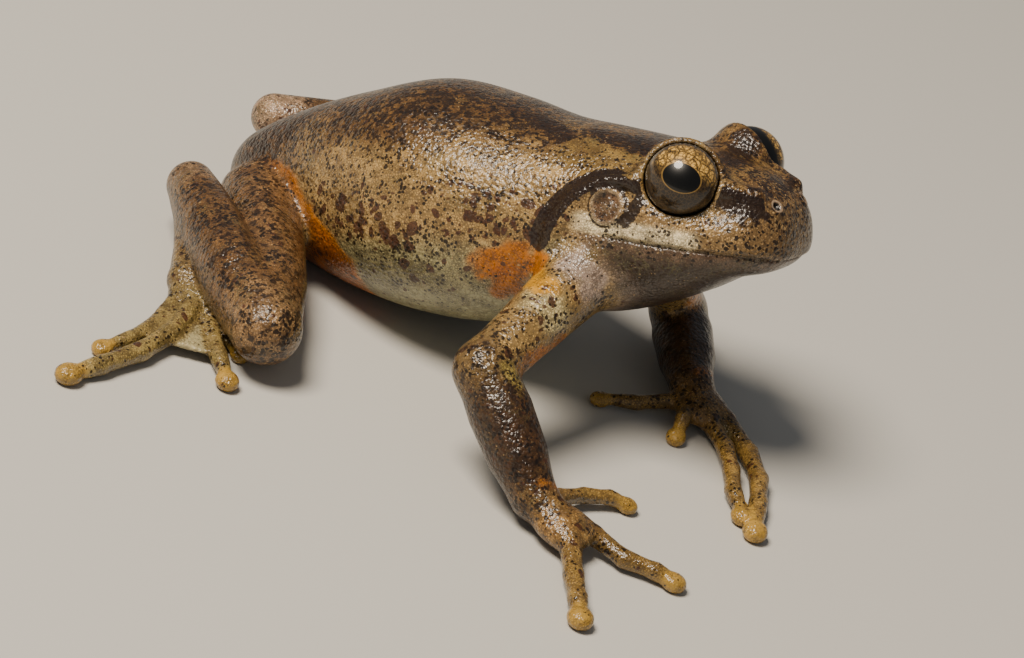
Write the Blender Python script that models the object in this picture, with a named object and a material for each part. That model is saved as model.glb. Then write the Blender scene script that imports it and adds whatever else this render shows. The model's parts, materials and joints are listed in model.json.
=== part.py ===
"""A northern heath frog, life size, sitting with its head raised and its hands planted.

The body is modelled whole, as one smooth skin round named masses and limbs, and is then
parted where a person would name its parts, with a thin gap at every join.

Places are written in millimetres. Those of the limbs are measured from the floor below the
right eye: x forward along the floor, y to the frog's left, z up. Those of the trunk and head
are measured in the body's own axes, x forward from the vent, y left, z up from eye level.
"""

import math

import bpy
import numpy as np

# Driving dimensions, in millimetres and degrees
EYE_LEVEL = 28.0             # the height above the floor of the place below
ANCHOR = (53.5, -6.5, 0.0)   # the place in the body's axes that stands at that height
BODY_PITCH = 25.0            # the body's own axis rises this much towards the snout
BODY_ROLL = 8.0              # and leans this much to the left
EYE_PLACE = (52.7, 7.0, 0.25)  # the left eyeball's centre in the body's axes
EYE_RADIUS = 3.4
SOCKET_GAP = 0.3
LID_THICKNESS = 0.45
LID_OPENING = -0.2           # the lids end this far out from the eyeball's centre
BOX_CENTRE = (-16.83, 5.68)  # the middle of the frog's own box on the floor plan
NECK_TOP, NECK_LEAN = 42.6, 0.16
PART_GAP = 0.3
EDGE_ROUNDING = 0.35         # the rounding of the edges along the cuts
WEB_THICKNESS = 0.9
MOUTH_HALF_HEIGHT, MOUTH_DEPTH, MOUTH_CORNER = 0.24, 0.6, 43.8
LIP_INSET = 0.3
EAR_PLACE, EAR_RADIUS, EAR_RIM = (46.4, -2.0), 1.5, 0.26
NOSTRIL_PLACE, NOSTRIL_RADIUS, NOSTRIL_RIM = (60.3, 2.85, -2.4), 0.45, 0.22
FAR = 6.0                    # what a distant part counts as, in the blending

# The trunk and head: station, height of the back, of the widest line and of the belly, half width
STATIONS = (
    ("vent", 0.0, 1.4, -3.2, -6.6, 3.0),
    ("rump", 4.0, 3.4, -3.2, -7.6, 5.0),
    ("pelvis", 9.0, 5.2, -3.4, -9.6, 7.0),
    ("waist", 16.0, 7.0, -4.0, -12.2, 10.2),
    ("belly", 24.0, 8.2, -4.6, -14.1, 12.6),
    ("chest", 31.0, 6.7, -5.0, -14.6, 12.6),
    ("shoulder", 37.0, 4.9, -5.2, -13.6, 11.2),
    ("nape", 42.0, 4.1, -5.3, -13.2, 10.4),
    ("jaw", 47.0, 3.2, -5.8, -12.7, 10.5),
    ("eye", 52.0, 2.2, -6.2, -11.2, 9.6),
    ("bridge", 56.0, 0.8, -6.1, -9.6, 8.0),
    ("nose", 59.4, -0.9, -5.6, -9.2, 6.0),
    ("snout", 61.6, -2.0, -5.4, -9.1, 4.5),
)
CROSS_POWER = 2.3            # 2 is an ellipse, more is squarer
SNOUT_END, SNOUT_ROUNDING = 61.2, 3.4
VENT_END, VENT_ROUNDING = -0.6, 3.6

# Limb joints, from the floor below the right eye
JOINTS = {
    "right": {
        "shoulder": (-6.0, -3.2, 15.9), "elbow": (-6.9, -17.3, 10.2), "wrist": (2.7, -20.4, 2.9),
        "palm": (6.5, -21.0, 2.0),
        "hip": (-41.5, 0.0, 4.6), "knee": (-27.4, -20.4, 4.8), "heel": (-46.9, -4.3, 5.2),
        "ankle": (-38.9, -16.0, 2.5),
        "finger_1": ((2.3, -17.3, 1.7), (0.6, -14.6, 1.2), (-0.9, -12.3, 0.8)),
        "finger_2": ((3.5, -16.4, 1.7), (4.6, -13.3, 1.3), (6.3, -11.2, 1.2), (7.8, -10.1, 0.8)),
        "finger_3": ((8.8, -19.2, 1.7), (12.3, -19.4, 1.2), (15.2, -18.5, 1.1), (17.0, -18.1, 0.8)),
        "finger_4": ((8.4, -22.9, 1.7), (10.6, -26.0, 1.2), (12.6, -28.8, 1.1), (14.2, -31.0, 0.8)),
        "toe_1": ((-36.6, -15.6, 1.3), (-34.4, -16.0, 1.0), (-32.4, -16.4, 0.8)),
        "toe_2": ((-36.2, -17.1, 1.5), (-32.9, -18.6, 1.1), (-29.4, -20.0, 0.7)),
        "toe_3": ((-35.8, -18.0, 1.8), (-33.0, -19.8, 1.4), (-30.2, -22.6, 1.1), (-27.4, -25.2, 0.8)),
        "toe_4": ((-35.9, -18.9, 2.0), (-34.9, -23.6, 1.5), (-34.9, -28.6, 1.2), (-35.8, -33.9, 1.1),
                  (-36.8, -37.4, 0.8)),
        "toe_5": ((-37.8, -18.8, 1.5), (-37.0, -23.4, 1.1), (-37.0, -27.4, 1.0), (-37.8, -30.6, 0.7)),
    },
    "left": {
        "shoulder": (-5.8, 13.8, 13.8), "elbow": (-4.6, 21.8, 4.4), "wrist": (2.3, 12.4, 2.9),
        "palm": (4.3, 10.9, 2.0),
        "hip": (-39.4, 11.2, 4.6), "knee": (-27.8, 32.4, 4.6), "heel": (-50.6, 16.8, 5.0),
        "ankle": (-41.4, 32.0, 2.5),
        "finger_1": ((2.2, 10.0, 1.7), (-0.4, 7.0, 1.2), (-3.4, 5.1, 0.8)),
        "finger_2": ((3.9, 9.2, 1.9), (4.4, 7.4, 1.9), (4.9, 5.6, 0.8)),
        "finger_3": ((6.3, 9.6, 1.7), (9.4, 7.2, 1.3), (11.6, 4.2, 1.2), (13.4, 1.1, 1.1),
                     (16.0, -1.8, 0.8)),
        "finger_4": ((7.2, 11.2, 1.7), (11.3, 8.6, 1.2), (14.2, 5.2, 1.1), (16.1, 1.2, 1.1),
                     (18.1, -3.3, 0.8)),
        "toe_1": ((-39.0, 31.6, 1.4), (-36.4, 31.6, 1.0), (-33.8, 31.4, 0.7)),
        "toe_2": ((-38.9, 32.8, 1.5), (-35.2, 34.4, 1.1), (-31.4, 36.2, 0.7)),
        "toe_3": ((-39.0, 33.9, 1.8), (-35.8, 36.4, 1.4), (-32.4, 38.8, 1.1), (-28.9, 40.8, 0.8)),
        "toe_4": ((-39.6, 34.8, 2.0), (-36.6, 38.8, 1.5), (-33.8, 42.6, 1.2), (-30.6, 46.0, 1.1),
                  (-27.8, 48.8, 0.8)),
        "toe_5": ((-41.0, 34.8, 1.6), (-40.8, 39.4, 1.2), (-41.0, 43.8, 1.0), (-41.8, 48.0, 0.7)),
    },
}

# Radii of the limbs from their root to their end
UPPER_ARM_RADII = (3.4, 3.1, 2.8, 2.7)
FOREARM_RADII = (2.7, 3.0, 2.8, 2.1)
PALM_RADII = (3.0, 2.6, 1.6)
THIGH_RADII = (4.2, 4.2, 4.1, 3.3)
SHANK_RADII = (3.3, 4.0, 3.5, 2.4)
TARSUS_RADII = (2.0, 1.45, 1.3, 1.6)
FINGER_RADII = {1: 0.76, 2: 0.78, 3: 0.9, 4: 0.98}
TOE_RADII = {1: 0.68, 2: 0.72, 3: 0.9, 4: 1.0, 5: 0.8}
DIGIT_TAPER = 0.86
DISC_WIDER, DISC_FLATNESS = 1.26, 0.76   # a digit's end disc, against the digit's own radius
DIGIT_JOINT, DIGIT_WAIST, DIGIT_NECK = 1.03, 0.91, 0.78
WEB_REACH = {1: 0.6, 2: 0.6, 3: 0.6, 4: 0.36}   # along the lower-numbered toe
WEB_REACH_BACK = {1: 0.5, 2: 0.42, 3: 0.36, 4: 0.6}  # along the higher-numbered toe
TOE_FREE_FROM = 0.62         # where the free end of a toe starts, along its length

# Cell of the modelling grid and the number of triangles, part by part
DETAIL = {
    "head": (0.3, 3300), "torso": (0.6, 1300), "upper_arm": (0.42, 240), "forearm": (0.42, 220),
    "hand": (0.36, 300), "finger": (0.26, 110), "thigh": (0.5, 360), "shank": (0.45, 300),
    "tarsus": (0.4, 160), "foot": (0.3, 420), "toe": (0.24, 100),
}

COLOURS = {
    "back": (0.30, 0.17, 0.08), "flank": (0.42, 0.29, 0.15), "limb": (0.40, 0.22, 0.10),
    "digit": (0.62, 0.42, 0.17), "eye": (0.10, 0.07, 0.03),
}


def body_axes():
    """Return the body's forward, left and up directions in the floor's axes."""
    pitch, roll = math.radians(BODY_PITCH), math.radians(BODY_ROLL)
    forward = np.array([math.cos(pitch), 0.0, math.sin(pitch)])
    level_up = np.array([-math.sin(pitch), 0.0, math.cos(pitch)])
    left = math.cos(roll) * np.array([0.0, 1.0, 0.0]) - math.sin(roll) * level_up
    up = math.cos(roll) * level_up + math.sin(roll) * np.array([0.0, 1.0, 0.0])
    return np.array([forward, left, up])


BODY_AXES = body_axes()
OVER_FLOOR = np.array([0.0, 0.0, EYE_LEVEL])


def to_body(points):
    """Turn places on the floor's axes into the body's own."""
    return (points - OVER_FLOOR) @ BODY_AXES.T + np.array(ANCHOR)


def to_floor(place):
    """Turn a place in the body's axes into the floor's."""
    return (np.asarray(place, float) - np.array(ANCHOR)) @ BODY_AXES + OVER_FLOOR


def blend(a, b, radius):
    """Join two distances as one skin, with a fillet of about the given radius."""
    share = np.clip(0.5 + 0.5 * (b - a) / radius, 0.0, 1.0)
    return b + (a - b) * share - radius * share * (1.0 - share)


def carve(a, b, radius):
    """Keep what lies in both a and b, with a rounded edge."""
    return -blend(-a, -b, radius)


def sample(x, column):
    """Read one column of the stations at x, on a smooth curve through them."""
    at = np.array([s[1] for s in STATIONS])
    value = np.array([s[column] for s in STATIONS])
    slope = np.gradient(value, at)
    x = np.clip(x, at[0], at[-1])
    i = np.clip(np.searchsorted(at, x) - 1, 0, len(at) - 2)
    length = at[i + 1] - at[i]
    t = (x - at[i]) / length
    rise = value[i + 1] - value[i]
    m0, m1 = slope[i] * length, slope[i + 1] * length
    return value[i] + t * (m0 + t * (3 * rise - 2 * m0 - m1 + t * (m0 + m1 - 2 * rise)))


def tube(points, spine, radii):
    """Distance to a tapering limb that runs through the spine's points."""
    spine = np.asarray(spine, float)
    best = np.full(len(points), np.inf)
    for a, b, ra, rb in zip(spine, spine[1:], radii, radii[1:]):
        axis = b - a
        along = np.clip((points - a) @ axis / (axis @ axis), 0.0, 1.0)
        off = points - a - along[:, None] * axis
        best = np.minimum(best, np.sqrt((off * off).sum(1)) - ra - (rb - ra) * along)
    return best


def ellipsoid(points, centre, radii, axes=None):
    """Distance, close to the surface, to an ellipsoid with its own axes."""
    off = points - np.asarray(centre, float)
    if axes is not None:
        off = off @ np.asarray(axes).T
    radii = np.asarray(radii, float)
    near = np.sqrt(((off / radii) ** 2).sum(1)) + 1e-9
    steep = np.sqrt(((off / radii ** 2) ** 2).sum(1)) + 1e-9
    return near * (near - 1.0) / steep


def sheet(points, a, b, c):
    """Distance to a flat triangle."""
    a, b, c = (np.asarray(v, float) for v in (a, b, c))
    normal = np.cross(b - a, c - a)
    normal /= np.linalg.norm(normal)
    inside = np.ones(len(points), bool)
    best = np.full(len(points), np.inf)
    for start, end in ((a, b), (b, c), (c, a)):
        edge = end - start
        off = points - start
        inside &= off @ np.cross(normal, edge) > 0
        along = np.clip(off @ edge / (edge @ edge), 0.0, 1.0)
        best = np.minimum(best, np.linalg.norm(off - along[:, None] * edge, axis=1))
    return np.where(inside, np.abs((points - a) @ normal), best)


def bent(a, b, count=3):
    """Return count steps of a straight run between two places."""
    a, b = np.asarray(a, float), np.asarray(b, float)
    return [a + (b - a) * i / count for i in range(count + 1)]


def plain_trunk(q):
    """Distance to the trunk and head without the head's features, in the body's axes."""
    x, y, z = q.T
    top, middle, bottom, half = (sample(x, column) for column in (2, 3, 4, 5))
    height = np.where(z > middle, top - middle, middle - bottom)
    across, up = np.abs(y), np.abs(z - middle)
    reach = np.sqrt(across ** 2 + up ** 2) + 1e-6
    ratio = ((across / half) ** CROSS_POWER + (up / height) ** CROSS_POWER) ** (1 / CROSS_POWER) + 1e-6
    d = reach - reach / ratio
    d = carve(d, x - SNOUT_END, SNOUT_ROUNDING)
    return carve(d, VENT_END - x, VENT_ROUNDING)


def mouth_height(x):
    """Height of the mouth's line at x, which rises from the snout to its corner and dips in front."""
    return -7.1 + 0.165 * (61.0 - x) - 0.08 * np.clip(x - 57.8, 0.0, 3.4) ** 2


def head_features(q, skin):
    """Add the lids, canthus, lips, mouth, ears and nostrils to the head's plain skin."""
    x, y, z = q.T
    mouth = mouth_height(x)
    jaw = 1.0 / (1.0 + np.exp(np.clip((z - mouth) / 0.25, -30, 30)))
    skin = skin + LIP_INSET * jaw * np.clip((x - 41.0) / 6.0, 0.0, 1.0)
    side = np.stack([x, np.abs(y), z], 1)
    eye = np.array(EYE_PLACE)
    out = eye_direction()
    lid = ellipsoid(side, eye, [EYE_RADIUS + SOCKET_GAP + LID_THICKNESS] * 3)
    lid = carve(lid, (side - eye) @ out - LID_OPENING, 0.35)
    skin = blend(skin, lid, 1.6)
    canthus = tube(side, [(55.4, 6.0, -0.6), (58.8, 4.0, -1.4)], (0.95, 0.75))
    skin = blend(skin, canthus, 1.1)
    hollow = ellipsoid(side, (57.6, 8.3, -2.4), (2.6, 1.5, 1.1))
    skin = carve(skin, -hollow, 1.4)
    fold = tube(side, [(49.0, 8.8, 0.3), (46.2, 9.2, 0.3), (43.2, 9.8, -1.2), (41.2, 10.7, -4.0),
                       (40.6, 10.9, -6.0)], (0.35, 0.45, 0.6, 0.7, 0.3))
    skin = blend(skin, fold, 1.6)
    from_ear = np.hypot(side[:, 0] - EAR_PLACE[0], side[:, 2] - EAR_PLACE[1])
    near_side = np.clip(side[:, 1] - 6.0, 0.0, 1.0)
    rim = np.exp(-((from_ear - EAR_RADIUS) / 0.35) ** 2)
    drum = 1.0 / (1.0 + np.exp(np.clip((from_ear - EAR_RADIUS) / 0.12, -30, 30)))
    skin = skin + near_side * (0.22 * drum - EAR_RIM * rim)
    nostril = np.linalg.norm(side - NOSTRIL_PLACE, axis=1)
    skin = skin - NOSTRIL_RIM * np.exp(-((nostril - 0.8) / 0.35) ** 2)
    skin = np.maximum(skin, NOSTRIL_RADIUS - nostril)
    groove = np.minimum(MOUTH_HALF_HEIGHT - np.abs(z - mouth), skin + MOUTH_DEPTH)
    skin = np.maximum(skin, np.minimum(groove, x - MOUTH_CORNER))
    socket = EYE_RADIUS + SOCKET_GAP - np.linalg.norm(side - eye, axis=1)
    return np.maximum(skin, socket)


def eye_direction():
    """Return the way the left eye looks in the body's axes: out, a little forward and up."""
    return unit((0.44, 0.87, 0.2))


def trunk(points):
    """Distance to the trunk and head."""
    q = to_body(points)
    skin = plain_trunk(q)
    ahead = q[:, 0] > 38.0
    if ahead.any():
        skin[ahead] = head_features(q[ahead], skin[ahead])
    return skin


def digit(points, spine, radius):
    """Distance to a finger or toe, a little swollen at each joint and waisted before its disc."""
    spine = np.asarray(spine, float)
    count = len(spine)
    places, radii = [spine[0]], [radius * 1.05]
    for i, (a, b) in enumerate(zip(spine, spine[1:])):
        here = radius * (1.0 - (1.0 - DIGIT_TAPER) * i / (count - 1))
        last = i == count - 2
        places += [a + (b - a) * 0.35, a + (b - a) * 0.72, b]
        radii += [here * 0.98, here * (DIGIT_NECK if last else DIGIT_WAIST),
                  here * (0.7 if last else DIGIT_JOINT)]
    d = tube(points, places, radii)
    wide = radius * DISC_WIDER
    high = wide * DISC_FLATNESS
    tip = np.array([spine[-1][0], spine[-1][1], 0.9 * high])
    forward = unit((tip - spine[-2]) * (1.0, 1.0, 0.6))
    across = unit(np.cross((0.0, 0.0, 1.0), forward))
    disc = ellipsoid(points, tip, (wide * 1.1, wide, high), (forward, across, np.cross(forward, across)))
    return blend(d, disc, 0.25)


def along_spine(spine, share):
    """Return the place at a share of a spine's length."""
    spine = np.asarray(spine, float)
    steps = np.linalg.norm(np.diff(spine, axis=0), axis=1)
    target = share * steps.sum()
    for start, end, step in zip(spine, spine[1:], steps):
        if target <= step:
            return start + (end - start) * target / step
        target -= step
    return spine[-1]


def split_spine(spine, share):
    """Cut a spine in two at a share of its length."""
    spine = np.asarray(spine, float)
    cut = along_spine(spine, share)
    steps = np.linalg.norm(np.diff(spine, axis=0), axis=1)
    reached = np.concatenate([[0.0], np.cumsum(steps)]) / steps.sum()
    root = [p for p, r in zip(spine, reached) if r < share - 1e-6] + [cut]
    free = [cut] + [p for p, r in zip(spine, reached) if r > share + 1e-6]
    return np.array(root), np.array(free)


def hand(points, joints):
    """Distance to the palm and the roots of its fingers."""
    palm, wrist = np.asarray(joints["palm"], float), np.asarray(joints["wrist"], float)
    forward = palm - wrist
    forward[2] = 0.0
    forward /= np.linalg.norm(forward)
    across = np.cross((0.0, 0.0, 1.0), forward)
    d = ellipsoid(points, palm, PALM_RADII, (forward, across, (0.0, 0.0, 1.0)))
    d = blend(d, tube(points, (wrist, palm), (1.9, 1.6)), 0.8)
    for number in range(1, 5):
        root = joints[f"finger_{number}"][0]
        radius = FINGER_RADII[number]
        d = blend(d, tube(points, (wrist * 0.5 + palm * 0.5, root), (radius * 1.3, radius * 1.05)), 0.7)
    return d


def foot(points, joints):
    """Distance to the foot: the metatarsals, the roots of the toes and the web between them."""
    ankle = np.asarray(joints["ankle"], float)
    d = np.full(len(points), np.inf)
    for number in range(1, 6):
        root, _ = split_spine(joints[f"toe_{number}"], TOE_FREE_FROM)
        radius = TOE_RADII[number]
        spine = [ankle] + list(root)
        radii = [1.5] + [radius * 1.06] * len(root)
        d = blend(d, tube(points, spine, radii), 0.35) if number > 1 else tube(points, spine, radii)
    for number in range(1, 5):
        near, far = joints[f"toe_{number}"], joints[f"toe_{number + 1}"]
        a = along_spine(near, min(WEB_REACH[number], TOE_FREE_FROM - 0.02))
        b = along_spine(far, min(WEB_REACH_BACK[number], TOE_FREE_FROM - 0.02))
        centre = (np.asarray(near[0], float) + np.asarray(far[0], float)) / 2
        web = np.minimum(sheet(points, ankle, a, b), sheet(points, centre, a, b)) - WEB_THICKNESS / 2
        d = blend(d, web, 0.35)
    return d


def limb_spine(side, start, end):
    """Return the run of places along one limb part."""
    joints = JOINTS[side]
    return bent(joints[start], joints[end])


def part_table():
    """Return every part: its name, its distance function and the places that it runs through."""
    table = {"trunk": (trunk, [to_floor((x, 0.0, -3.0)) for x in (0.0, 31.0, 62.0)], 15.0)}
    for side, joints in JOINTS.items():
        runs = (
            ("upper_arm", "shoulder", "elbow", UPPER_ARM_RADII),
            ("forearm", "elbow", "wrist", FOREARM_RADII),
            ("thigh", "hip", "knee", THIGH_RADII),
            ("shank", "knee", "heel", SHANK_RADII),
            ("tarsus", "heel", "ankle", TARSUS_RADII),
        )
        for name, start, end, radii in runs:
            spine = limb_spine(side, start, end)
            table[f"{name}_{side}"] = (
                lambda p, spine=spine, radii=radii: tube(p, spine, radii), spine, max(radii))
        table[f"hand_{side}"] = (
            lambda p, joints=joints: hand(p, joints),
            [joints["wrist"]] + [joints[f"finger_{n}"][0] for n in range(1, 5)], 2.4)
        table[f"foot_{side}"] = (
            lambda p, joints=joints: foot(p, joints),
            [joints["ankle"]] + [along_spine(joints[f"toe_{n}"], TOE_FREE_FROM) for n in range(1, 6)], 1.8)
        for number, radius in FINGER_RADII.items():
            spine = joints[f"finger_{number}"]
            table[f"finger_{number}_{side}"] = (
                lambda p, spine=spine, radius=radius: digit(p, spine, radius), spine, radius * 1.5)
        for number, radius in TOE_RADII.items():
            _, free = split_spine(joints[f"toe_{number}"], TOE_FREE_FROM)
            table[f"toe_{number}_{side}"] = (
                lambda p, free=free, radius=radius: digit(p, free, radius), free, radius * 1.5)
    return table


PARTS = part_table()


def distances(points, margin=3.0):
    """Return each part's distance at the points, worked out only near the part."""
    found = {}
    for name, (measure, spine, radius) in PARTS.items():
        spine = np.asarray(spine, float)
        low, high = spine.min(0) - radius - margin, spine.max(0) + radius + margin
        close = ((points > low) & (points < high)).all(1)
        d = np.full(len(points), FAR)
        if close.any():
            d[close] = np.minimum(measure(points[close]), FAR)
        found[name] = d
    return found


def whole_skin(d):
    """Join all parts as one skin."""
    skin = d["trunk"]
    for side in JOINTS:
        arm = blend(d[f"upper_arm_{side}"], d[f"forearm_{side}"], 0.9)
        arm = blend(arm, d[f"hand_{side}"], 0.8)
        for number in FINGER_RADII:
            arm = blend(arm, d[f"finger_{number}_{side}"], 0.25)
        leg = blend(d[f"thigh_{side}"], d[f"shank_{side}"], 0.45)
        leg = blend(leg, d[f"tarsus_{side}"], 0.4)
        leg = blend(leg, d[f"foot_{side}"], 0.4)
        for number in TOE_RADII:
            leg = blend(leg, d[f"toe_{number}_{side}"], 0.2)
        skin = blend(blend(skin, arm, 2.3), leg, 1.0)
    return skin


def past(points, place, direction, reach):
    """How far points are past a cut across a limb, where the cut acts only within its reach."""
    off = points - np.asarray(place, float)
    axial = off @ direction
    radial = np.linalg.norm(off - axial[:, None] * direction, axis=1)
    return axial - 2.0 * np.maximum(radial - reach, 0.0)


def unit(vector):
    """Return the vector at length one."""
    vector = np.asarray(vector, float)
    return vector / np.linalg.norm(vector)


def cut_table():
    """Return the cuts between neighbours: inner part, outer part, place, direction and reach."""
    cuts = []
    for side, joints in JOINTS.items():
        place = {name: np.asarray(joints[name], float)
                 for name in ("shoulder", "elbow", "wrist", "palm", "hip", "knee", "heel", "ankle")}
        chain = (("upper_arm", "forearm", "shoulder", "elbow", "wrist", 6.0),
                 ("forearm", "hand", "elbow", "wrist", "palm", 4.5),
                 ("thigh", "shank", "hip", "knee", "heel", 60.0),
                 ("shank", "tarsus", "knee", "heel", "ankle", 60.0))
        for inner, outer, before, at, after, reach in chain:
            direction = unit(unit(place[at] - place[before]) + unit(place[after] - place[at]))
            cuts.append((f"{inner}_{side}", f"{outer}_{side}", place[at], direction, reach))
        middle_toe = np.asarray(joints["toe_3"][0], float)
        direction = unit(unit(place["ankle"] - place["heel"]) + unit(middle_toe - place["ankle"]))
        cuts.append((f"tarsus_{side}", f"foot_{side}", place["ankle"], direction, 4.0))
        for number in FINGER_RADII:
            spine = np.asarray(joints[f"finger_{number}"], float)
            cuts.append((f"hand_{side}", f"finger_{number}_{side}",
                         spine[0], unit(spine[1] - spine[0]), FINGER_RADII[number] * 1.5))
        for number in TOE_RADII:
            _, free = split_spine(joints[f"toe_{number}"], TOE_FREE_FROM)
            cuts.append((f"foot_{side}", f"toe_{number}_{side}",
                         free[0], unit(free[1] - free[0]), TOE_RADII[number] * 1.5))
    return cuts


CUTS = cut_table()
NODES = ["head", "torso"] + [name for name in PARTS if name != "trunk"]


def claims(points, d):
    """Return how strongly each node claims the points: the lowest value has them."""
    claim = {name: d[name] - 1.5 for name in PARTS if name != "trunk"}
    q = to_body(points)
    beyond_neck = q[:, 0] - NECK_TOP + NECK_LEAN * q[:, 2]
    claim["torso"] = np.maximum(d["trunk"] - 1.5, beyond_neck)
    claim["head"] = np.maximum(d["trunk"] - 1.5, -beyond_neck)
    for inner, outer, place, direction, reach in CUTS:
        claim[inner] = np.maximum(claim[inner], past(points, place, direction, reach))
        claim[outer] = np.maximum(claim[outer], -((points - place) @ direction))
    return claim


def node_distance(name, points):
    """Distance to one node: the whole skin, kept back from every other node's claim."""
    d = distances(points)
    claim = claims(points, d)
    others = np.min([claim[other] for other in NODES if other != name], axis=0)
    return carve(whole_skin(d), (claim[name] - others + PART_GAP) / 2, EDGE_ROUNDING)


def crossing_triangles():
    """Return, for each set of a tetrahedron's corners that lie inside, the edges its skin crosses."""
    turns = ((0, 1, 3, 2), (1, 0, 2, 3), (2, 3, 1, 0), (3, 2, 0, 1))
    pairs = ((0, 1, 2, 3), (0, 2, 3, 1), (0, 3, 1, 2), (1, 2, 0, 3), (1, 3, 2, 0), (2, 3, 0, 1))
    cases = {}
    for a, b, c, d in turns:
        alone = ((a, b), (a, d), (a, c))
        cases[1 << a] = [alone]
        cases[15 - (1 << a)] = [alone[::-1]]
    for a, b, c, d in pairs:
        cases[(1 << a) | (1 << b)] = [((a, c), (a, d), (b, d)), ((a, c), (b, d), (b, c))]
    return cases


def skin_mesh(values, low, step):
    """Turn a block of distances into triangles, cutting each cell as six tetrahedra."""
    shape = np.array(values.shape)
    small = 0.03 * step
    value = values.ravel()
    value = np.where(np.abs(value) < small, np.where(value < 0, -small, small), value)
    inside = value < 0
    strides = np.array([shape[1] * shape[2], shape[2], 1])
    ids = np.arange(value.size).reshape(shape)
    block = inside.reshape(shape)
    count = np.zeros(shape - 1, int)
    for i, j, k in np.ndindex(2, 2, 2):
        count += block[i:i + shape[0] - 1, j:j + shape[1] - 1, k:k + shape[2] - 1]
    base = ids[:-1, :-1, :-1][(count > 0) & (count < 8)]
    cases = crossing_triangles()
    triangles = []
    for order, even in (((0, 1, 2), True), ((1, 2, 0), True), ((2, 0, 1), True),
                        ((0, 2, 1), False), ((2, 1, 0), False), ((1, 0, 2), False)):
        path = np.concatenate([[0], np.cumsum(strides[list(order)])])
        corners = base[:, None] + path
        code = inside[corners] @ np.array([1, 2, 4, 8])
        for case, rings in cases.items():
            rows = corners[code == case]
            for ring in rings:
                edges = np.stack([np.sort(rows[:, list(edge)], 1) for edge in ring], 1)
                triangles.append(edges if even else edges[:, ::-1])
    edges = np.concatenate(triangles).reshape(-1, 2)
    keys, index = np.unique(edges[:, 0] * value.size + edges[:, 1], return_inverse=True)
    first, second = keys // value.size, keys % value.size
    share = value[first] / (value[first] - value[second])
    start = np.stack(np.unravel_index(first, shape), 1)
    end = np.stack(np.unravel_index(second, shape), 1)
    return (start + share[:, None] * (end - start)) * step + low, index.reshape(-1, 3)


def settle(name, places, rounds=2, reach=0.25):
    """Move places onto a node's surface along its steepest way."""
    nudge = 0.02
    for _ in range(rounds):
        here = node_distance(name, places)
        slope = np.stack([(node_distance(name, places + nudge * axis) - here) / nudge
                          for axis in np.eye(3)], 1)
        move = here[:, None] * slope / ((slope ** 2).sum(1)[:, None] + 0.2)
        places = places - np.clip(move, -reach, reach)
    return places


def node_mesh(name, step):
    """Model one node on a grid and return its places and faces."""
    if name == "head":
        spots = [to_floor((x, y, z)) for x in (41.0, 63.5) for y in (-12.0, 12.0) for z in (-15.0, 6.0)]
        radius = 0.5
    elif name == "torso":
        spots = [to_floor((x, y, z)) for x in (-1.5, 46.0) for y in (-13.5, 13.5) for z in (-15.0, 9.0)]
        radius = 0.5
    else:
        _, spots, radius = PARTS[name]
    spots = np.asarray(spots, float)
    low = spots.min(0) - radius - 1.2
    low[2] = max(low[2], -2.0)
    high = spots.max(0) + radius + 1.2
    counts = np.ceil((high - low) / step).astype(int) + 1
    grid = np.stack(np.meshgrid(*(np.arange(n) for n in counts), indexing="ij"), -1)
    points = grid.reshape(-1, 3) * step + low
    values = node_distance(name, points).reshape(counts)
    places, faces = skin_mesh(values, low, step)
    return settle(name, places), faces


def largest_piece(places, faces):
    """Keep only the largest connected piece of a mesh."""
    parent = np.arange(len(places))
    for _ in range(200):
        lowest = parent[faces].min(1)
        before = parent.copy()
        for column in range(faces.shape[1]):
            np.minimum.at(parent, faces[:, column], lowest)
        parent = parent[parent]
        if (parent == before).all():
            break
    labels, sizes = np.unique(parent[faces[:, 0]], return_counts=True)
    keep = parent == labels[sizes.argmax()]
    faces = faces[keep[faces[:, 0]]]
    number = np.cumsum(keep) - 1
    return places[keep], number[faces]


def material(name):
    """Return a plain skin material of the part's colour."""
    made = bpy.data.materials.new(name)
    made.use_nodes = True
    shader = made.node_tree.nodes["Principled BSDF"]
    shader.inputs["Base Color"].default_value = (*COLOURS[name], 1.0)
    shader.inputs["Roughness"].default_value = 0.12 if name == "eye" else 0.4
    shader.inputs["Metallic"].default_value = 0.0
    return made


def add_object(name, places, faces, finish):
    """Add a named object with the given mesh, in metres about the frame's origin."""
    shift = np.array([BOX_CENTRE[0], BOX_CENTRE[1], 0.0])
    mesh = bpy.data.meshes.new(name)
    mesh.from_pydata(((places - shift) / 1000.0).tolist(), [], faces.tolist())
    mesh.materials.append(finish)
    body = bpy.data.objects.new(name, mesh)
    bpy.context.collection.objects.link(body)
    return body


def floor_cutter():
    """Add the hidden block below floor level that leaves flats on all that rests there."""
    size, depth = 200.0, 12.0
    bpy.ops.mesh.primitive_cube_add(size=1.0, location=(0.0, 0.0, -depth / 2000))
    block = bpy.context.object
    block.name = "floor_cutter"
    block.scale = (size / 1000, size / 1000, depth / 1000)
    bpy.ops.object.transform_apply(location=False, rotation=False, scale=True)
    block.hide_render = True
    block.display_type = "WIRE"
    return block


def add_node(name, finish, cutter):
    """Add one parted piece of the frog."""
    kind = name.replace("_left", "").replace("_right", "").rstrip("_12345")
    step, triangles = DETAIL[kind]
    places, faces = largest_piece(*node_mesh(name, step))
    body = add_object(name, places, faces, finish)
    thin = body.modifiers.new("fewer_faces", "DECIMATE")
    thin.ratio = min(1.0, triangles / len(faces))
    if places[:, 2].min() < 0.0:
        flat = body.modifiers.new("floor_flats", "BOOLEAN")
        flat.operation = "DIFFERENCE"
        flat.object = cutter
    body.data.shade_smooth()
    return body


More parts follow.
